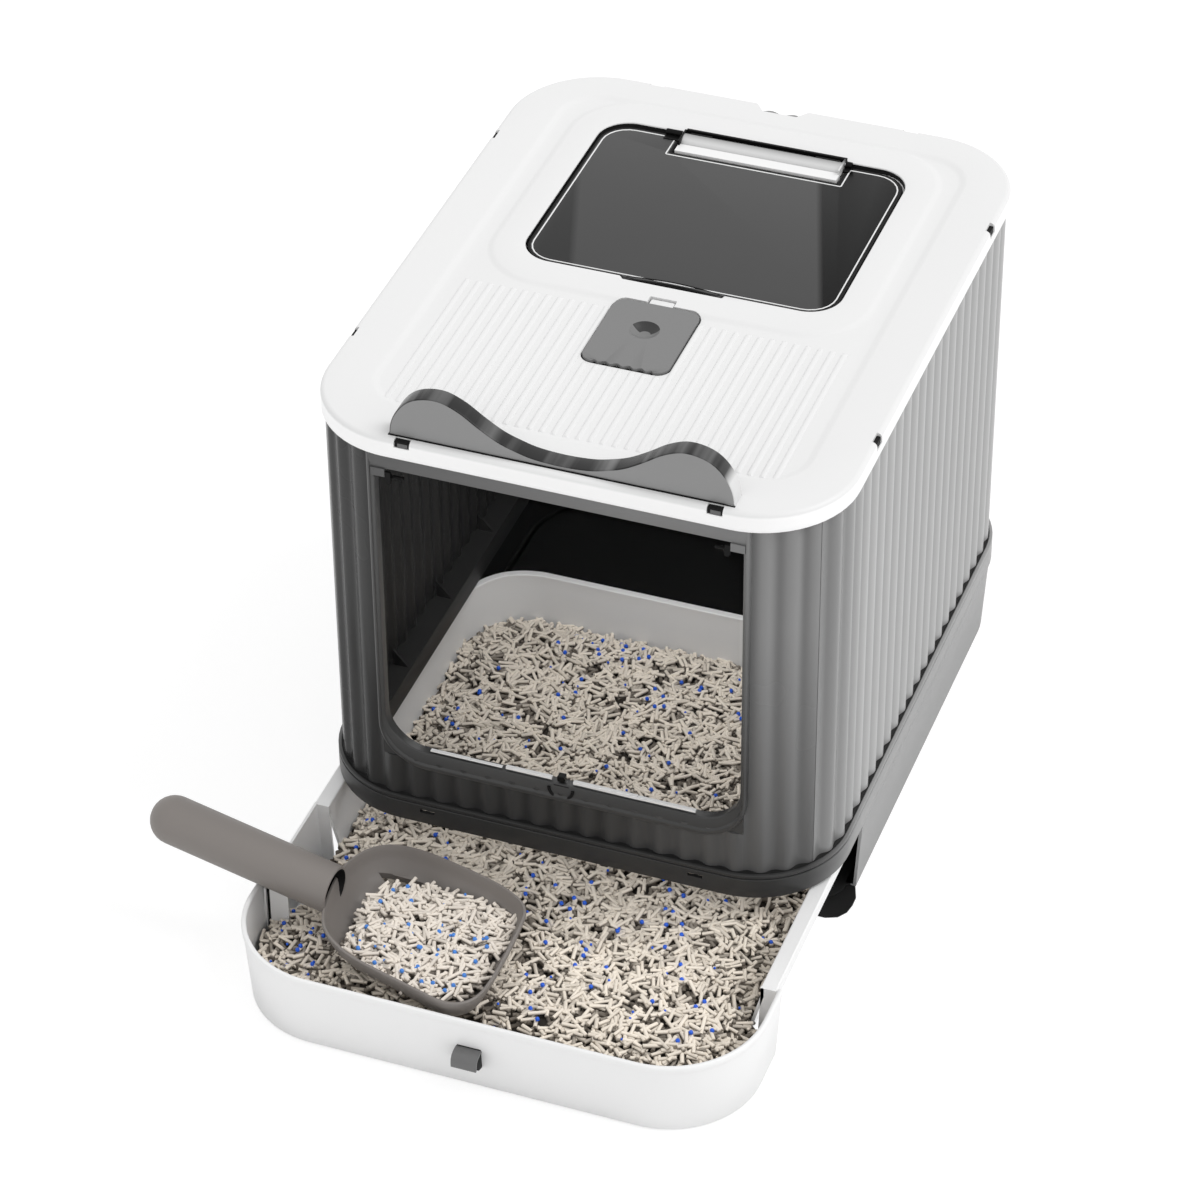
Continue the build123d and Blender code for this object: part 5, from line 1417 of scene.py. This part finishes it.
# Litter: pressed tofu pellets, cut to short lengths, with a few blue scented beads among them. A low bank of
# litter fills the tray, painted near-black for the shade in the gaps, and its loose top layer is made of
# single pellets, painted darker on their undersides and where they lie lower, for the shade among them.
PELLET_RADIUS = 1.6
PELLET_SHORT = 8.5
PELLET_LONG = 15.0
BEAD_RADIUS = 1.9
LITTER_EDGE = 28.0
LITTER_MIDDLE = 45.0
LITTER_BANK = 42.0
BANK_UNDER = 3.0
PELLETS = 14000
PELLET_RISE = (-3.6, 2.0)
PELLET_TILT = 0.14
TRAY_REACH = 197.0
BEADS = 300
BEAD_RISE = 3.0
dice = np.random.default_rng(7)


def pressed_fibre(name, pale, dark):
    """Pressed plant fibre with a chalky grain: its tint attribute mixes each pellet's own tone with painted
    shade.
    """
    material, nodes, where = finish_nodes(name)
    tint = nodes.add("Attribute", {"attribute_name": "tint"}, 2)
    grain = nodes.add("TexNoise", Vector=where, Scale=1500.0, Detail=3.0)
    colour = nodes.blend(tint * 0.9 + grain * 0.1, dark, pale)
    bump = nodes.add("Bump", Height=grain, Strength=0.5, Distance=0.0003)
    shader = nodes.add("BsdfPrincipled", Base_Color=colour, Roughness=grain * 0.1 + 0.75, Normal=bump)
    nodes.add("OutputMaterial", Surface=shader)
    return material


def pellets(places, tilt, turn, lengths, radius, tints):
    """Many short rods at once: a prism of unit size, stretched, tilted, turned and moved for each place.

    Each has its own tint, and painted shade that darkens it towards its underside.
    """
    sides = 8
    spin = spun(sides)
    ring = np.stack([np.zeros(sides), np.cos(spin), np.sin(spin)], -1)
    unit = np.concatenate([ring + (-0.5, 0, 0), ring + (0.5, 0, 0)])
    points = np.repeat(unit[None], len(places), 0)
    points[..., 0] *= lengths[:, None]
    points[..., 1:] *= radius[:, None, None]
    along = np.stack([np.cos(tilt) * np.cos(turn), np.cos(tilt) * np.sin(turn), np.sin(tilt)], -1)
    side = np.stack([-np.sin(turn), np.cos(turn), np.zeros(len(turn))], -1)
    up = np.cross(along, side)
    points = sum(points[..., k:k + 1] * axis[:, None] for k, axis in enumerate((along, side, up)))
    points = points + places[:, None]
    first = np.arange(len(places))[:, None, None] * 2 * sides
    shades = tints[:, None] * np.clip(0.3 + 0.95 * np.tile(np.sin(spin), 2), 0.02, 1)[None]
    k = np.arange(sides)
    walls = np.stack([k, (k + 1) % sides, (k + 1) % sides + sides, k + sides], -1)[None] + first
    caps = np.stack([k[::-1], k + sides])[None] + first
    return (points.reshape(-1, 3), [walls.reshape(-1, 4), caps.reshape(-1, sides)], 0), shades.ravel()


def beads(places, radius, tints):
    """Small balls at once: rings of six points between two poles."""
    rows, spin = np.radians([-45, 0, 45]), spun(6)
    ring = np.stack([np.cos(rows)[:, None] * np.cos(spin), np.cos(rows)[:, None] * np.sin(spin),
                     np.repeat(np.sin(rows)[:, None], 6, 1)], -1).reshape(-1, 3)
    unit = np.concatenate([ring, [(0, 0, -1), (0, 0, 1)]])
    points = unit[None] * radius[:, None, None] + places[:, None]
    first = np.arange(len(places))[:, None, None] * len(unit)
    k, n, pole = np.arange(6), (np.arange(6) + 1) % 6, np.zeros(6, int)
    bands = np.concatenate([np.stack([k, n, n + 6, k + 6], -1), np.stack([k + 6, n + 6, n + 12, k + 12], -1)])
    tips = np.concatenate([np.stack([n, k, pole + 18], -1), np.stack([k + 12, n + 12, pole + 19], -1)])
    faces = [(bands[None] + first).reshape(-1, 4), (tips[None] + first).reshape(-1, 3)]
    return (points.reshape(-1, 3), faces, 1), np.repeat(tints, len(unit))


LEAN_IN = TRAY_WALL + TRAY_LEAN * 0.45
FASCIA_IN = FASCIA_WALL + 4.5
inner_tray = (TRAY_HALF - LEAN_IN, FRONT - BEYOND, FRONT + TRAY_END - LEAN_IN, TRAY_CORNER - LEAN_IN)
inner_fascia = (FASCIA_HALF - FASCIA_IN, FRONT + FASCIA_FRONT + FASCIA_IN, BACK + BEYOND,
                FASCIA_CORNER - FASCIA_IN)


def wall_distance(x, y):
    """How far a point lies inside the tray's walls and the fascia."""
    front_part = np.where(y < FRONT + TRAY_FRONT + 14, np.inf, depth_in(x, y, inner_tray))
    return np.minimum(front_part, depth_in(x, y, inner_fascia))


def litter_level(x, y):
    """The litter's surface: low along the walls, higher in the middle, with slow swells."""
    bank = ease(wall_distance(x, y) / LITTER_BANK)
    swell = 1.3 * np.sin(x / 31.0 + 1.0) * np.cos(y / 37.0) + 0.8 * np.sin((x + 1.7 * y) / 19.0)
    return LITTER_EDGE + (LITTER_MIDDLE - LITTER_EDGE) * bank + swell * bank


low, high = FRONT + FASCIA_FRONT, FRONT + TRAY_END
spots = [dice.uniform(*ends, PELLETS * 2) for ends in ((-TRAY_REACH, TRAY_REACH), (low, high))]
spots = np.stack(spots, -1)
turn = dice.uniform(0, math.pi, len(spots))
lengths = dice.uniform(PELLET_SHORT, PELLET_LONG, len(spots))
ends = np.stack([np.cos(turn), np.sin(turn)], -1) * lengths[:, None] / 2
kept = wall_distance(*spots.T) > 1.5
for end in (spots + ends, spots - ends):
    kept &= wall_distance(*end.T) > -0.8
spots, turn, lengths = spots[kept][:PELLETS], turn[kept][:PELLETS], lengths[kept][:PELLETS]
rise = dice.uniform(*PELLET_RISE, len(spots))
places = lifted(spots, litter_level(*spots.T) + rise)
under_scoop = within(spots, rim_line) | ((np.abs(spots[:, 1] - ROOT[1]) < 24) & (spots[:, 0] < ROOT[0] + 10))
places[under_scoop, 2] = np.minimum(places[under_scoop, 2], SCOOP_LOW - 4.5)
tilt = dice.normal(0, PELLET_TILT, len(places)) * np.where(under_scoop, 0.3, 1.0)
radius = PELLET_RADIUS * dice.uniform(0.88, 1.12, len(places))
depth_shade = 0.1 + 0.9 * ease((rise + 2.0) / 2.2)
tints = np.clip(dice.normal(0.95, 0.1, len(places)) * depth_shade, 0.02, 1)
tan = pressed_fibre("tofu pellets", (1.0, 0.91, 0.79), (0.05, 0.035, 0.022))
bank_gap_shade = pressed_fibre("litter bank", (0.05, 0.037, 0.027), (0.02, 0.015, 0.01))
blue = moulded("blue beads", (0.02, 0.13, 0.78), 0.35, coat=0.1)
bead_spots = spots[dice.choice(len(spots), BEADS, replace=False)] + dice.uniform(-3, 3, (BEADS, 2))
bead_places = lifted(bead_spots, litter_level(*bead_spots.T) + BEAD_RISE)
bead_places = bead_places[(wall_distance(*bead_spots.T) > 6) & ~within(bead_spots, rim_line)]
bead_radius = BEAD_RADIUS * dice.choice([0.6, 1.0, 1.0], len(bead_places))
bead_part, bead_tints = beads(bead_places, bead_radius, np.zeros(len(bead_places)))
for k, rows in enumerate(np.array_split(np.argsort(places[:, 1]), 3)):
    part, shades = pellets(places[rows], tilt[rows], turn[rows], lengths[rows], radius[rows], tints[rows])
    parts, shades = ([part, bead_part], np.concatenate([shades, bead_tints])) if k == 0 else ([part], shades)
    piece(f"loose_litter_{k + 1}", parts, [tan, blue], "drawer", "litter_bed", smooth=50,
          merge=False, tints=shades)

across, along = np.meshgrid(np.linspace(-1, 1, 61), np.linspace(low + 8, high - 3, 79), indexing="ij")
grid_x = across * (TRAY_HALF - TRAY_WALL - 0.6)
inside = wall_distance(grid_x, along)
deep_in = inside > 0.5
grid_z = np.where(deep_in, litter_level(grid_x, along) - BANK_UNDER, LITTER_EDGE - 5)
top_grid = np.stack([grid_x, along, grid_z], -1)
low_grid = np.stack([grid_x, along, TRAY_FLOOR + 0.2 + 18 * np.clip(1 - inside / 6, 0, 1)], -1)
cells = deep_in[:-1, :-1] & deep_in[1:, 1:] & deep_in[1:, :-1] & deep_in[:-1, 1:]
piece("litter_bank", [shell(top_grid, low_grid, cells)], [bank_gap_shade], "drawer", "litter_bed",
      smooth=60)


# Litter in the scoop: the same pellets, heaped on the slotted floor and level with the rim towards the tip.
HEAP = 1200
HEAP_BEADS = 42
HEAP_LINE = [(22, -38), (19, -8), (22, 30), (44, 41), (62, 47), (90, 45), (117, 39), (131, 34), (133, 15),
             (133, -16), (131, -47), (120, -66), (76, -64), (42, -53)]
HEAP_LEVEL = 59.5
HEAP_RISE = (-3.4, 2.4)
HEAP_TILT = 0.18
HEAP_BODY = (51.0, 60.0, 2.0)

heap_line = smooth_line(HEAP_LINE, 3) + ROOT[:2]
spots = bowl_middle + (dice.uniform(-1, 1, (HEAP * 3, 2)) * (78, 82))
inset = bowl_inset(*spots.T)
kept = within(spots, heap_line)
spots, inset = spots[kept][:HEAP], inset[kept][:HEAP]
floor_z = np.interp(inset, *BOWL_IN)
rise = dice.uniform(*HEAP_RISE, len(spots))
places = lifted(spots, np.maximum(HEAP_LEVEL + rise + 2.0 * ease((inset - 10) / 30), floor_z + 2))
count = len(places)
depth_shade = 0.1 + 0.9 * ease((rise + 2.2) / 2.4)
part, shades = pellets(places, dice.normal(0, HEAP_TILT, count), dice.uniform(0, math.pi, count),
                       dice.uniform(PELLET_SHORT, PELLET_LONG, count), np.full(count, PELLET_RADIUS),
                       np.clip(dice.normal(0.95, 0.08, count) * depth_shade, 0.1, 1))
picked = dice.choice(count, HEAP_BEADS, replace=False)
bead_places = places[picked] * (1, 1, 0) + (0, 0, HEAP_LEVEL + 4.6)
bead_radius = BEAD_RADIUS * dice.choice([0.6, 1.0], HEAP_BEADS)
bead_part, bead_tints = beads(bead_places, bead_radius, np.zeros(HEAP_BEADS))
pale = pressed_fibre("scooped pellets", (0.97, 0.89, 0.795), (0.06, 0.042, 0.028))
light_blue = moulded("light blue beads", (0.07, 0.27, 0.80), 0.35, coat=0.1)
piece("scooped_litter", [part, bead_part], [pale, light_blue], "scoop", "scoop_litter", smooth=50,
      merge=False, tints=np.concatenate([shades, bead_tints]))
body_line = heap_line + (heap_line.mean(0) - heap_line) * 0.16
# A near-black body of painted shade under the heap.
piece("heap_body", [slab(body_line, *HEAP_BODY)], [bank_gap_shade], "scoop", "scoop_litter", smooth=50)


# Hidden and small pieces keep their CAD shape: steel hinge pins for the window, and the deodoriser's case
# with its block of pressed carbon, each with its own finish. The entry's pins are near-black painted shade.
def dress(node, material):
    """Give a CAD node its finish in every one of its material slots."""
    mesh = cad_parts[node].data
    if not mesh.materials:
        mesh.materials.append(material)
    for place in range(len(mesh.materials)):
        mesh.materials[place] = material


steel = moulded("pin steel", (0.55, 0.55, 0.56), 0.25, grain=0.00003, metal=1.0)
carbon = moulded("carbon block", (0.03, 0.03, 0.03), 0.9, grain=0.0008, mottle=0.5)
dress("window_pins", steel)
dress("entry_pins", painted_shade)
dress("deodoriser_case", cover_plastic)
dress("deodoriser_block", carbon)
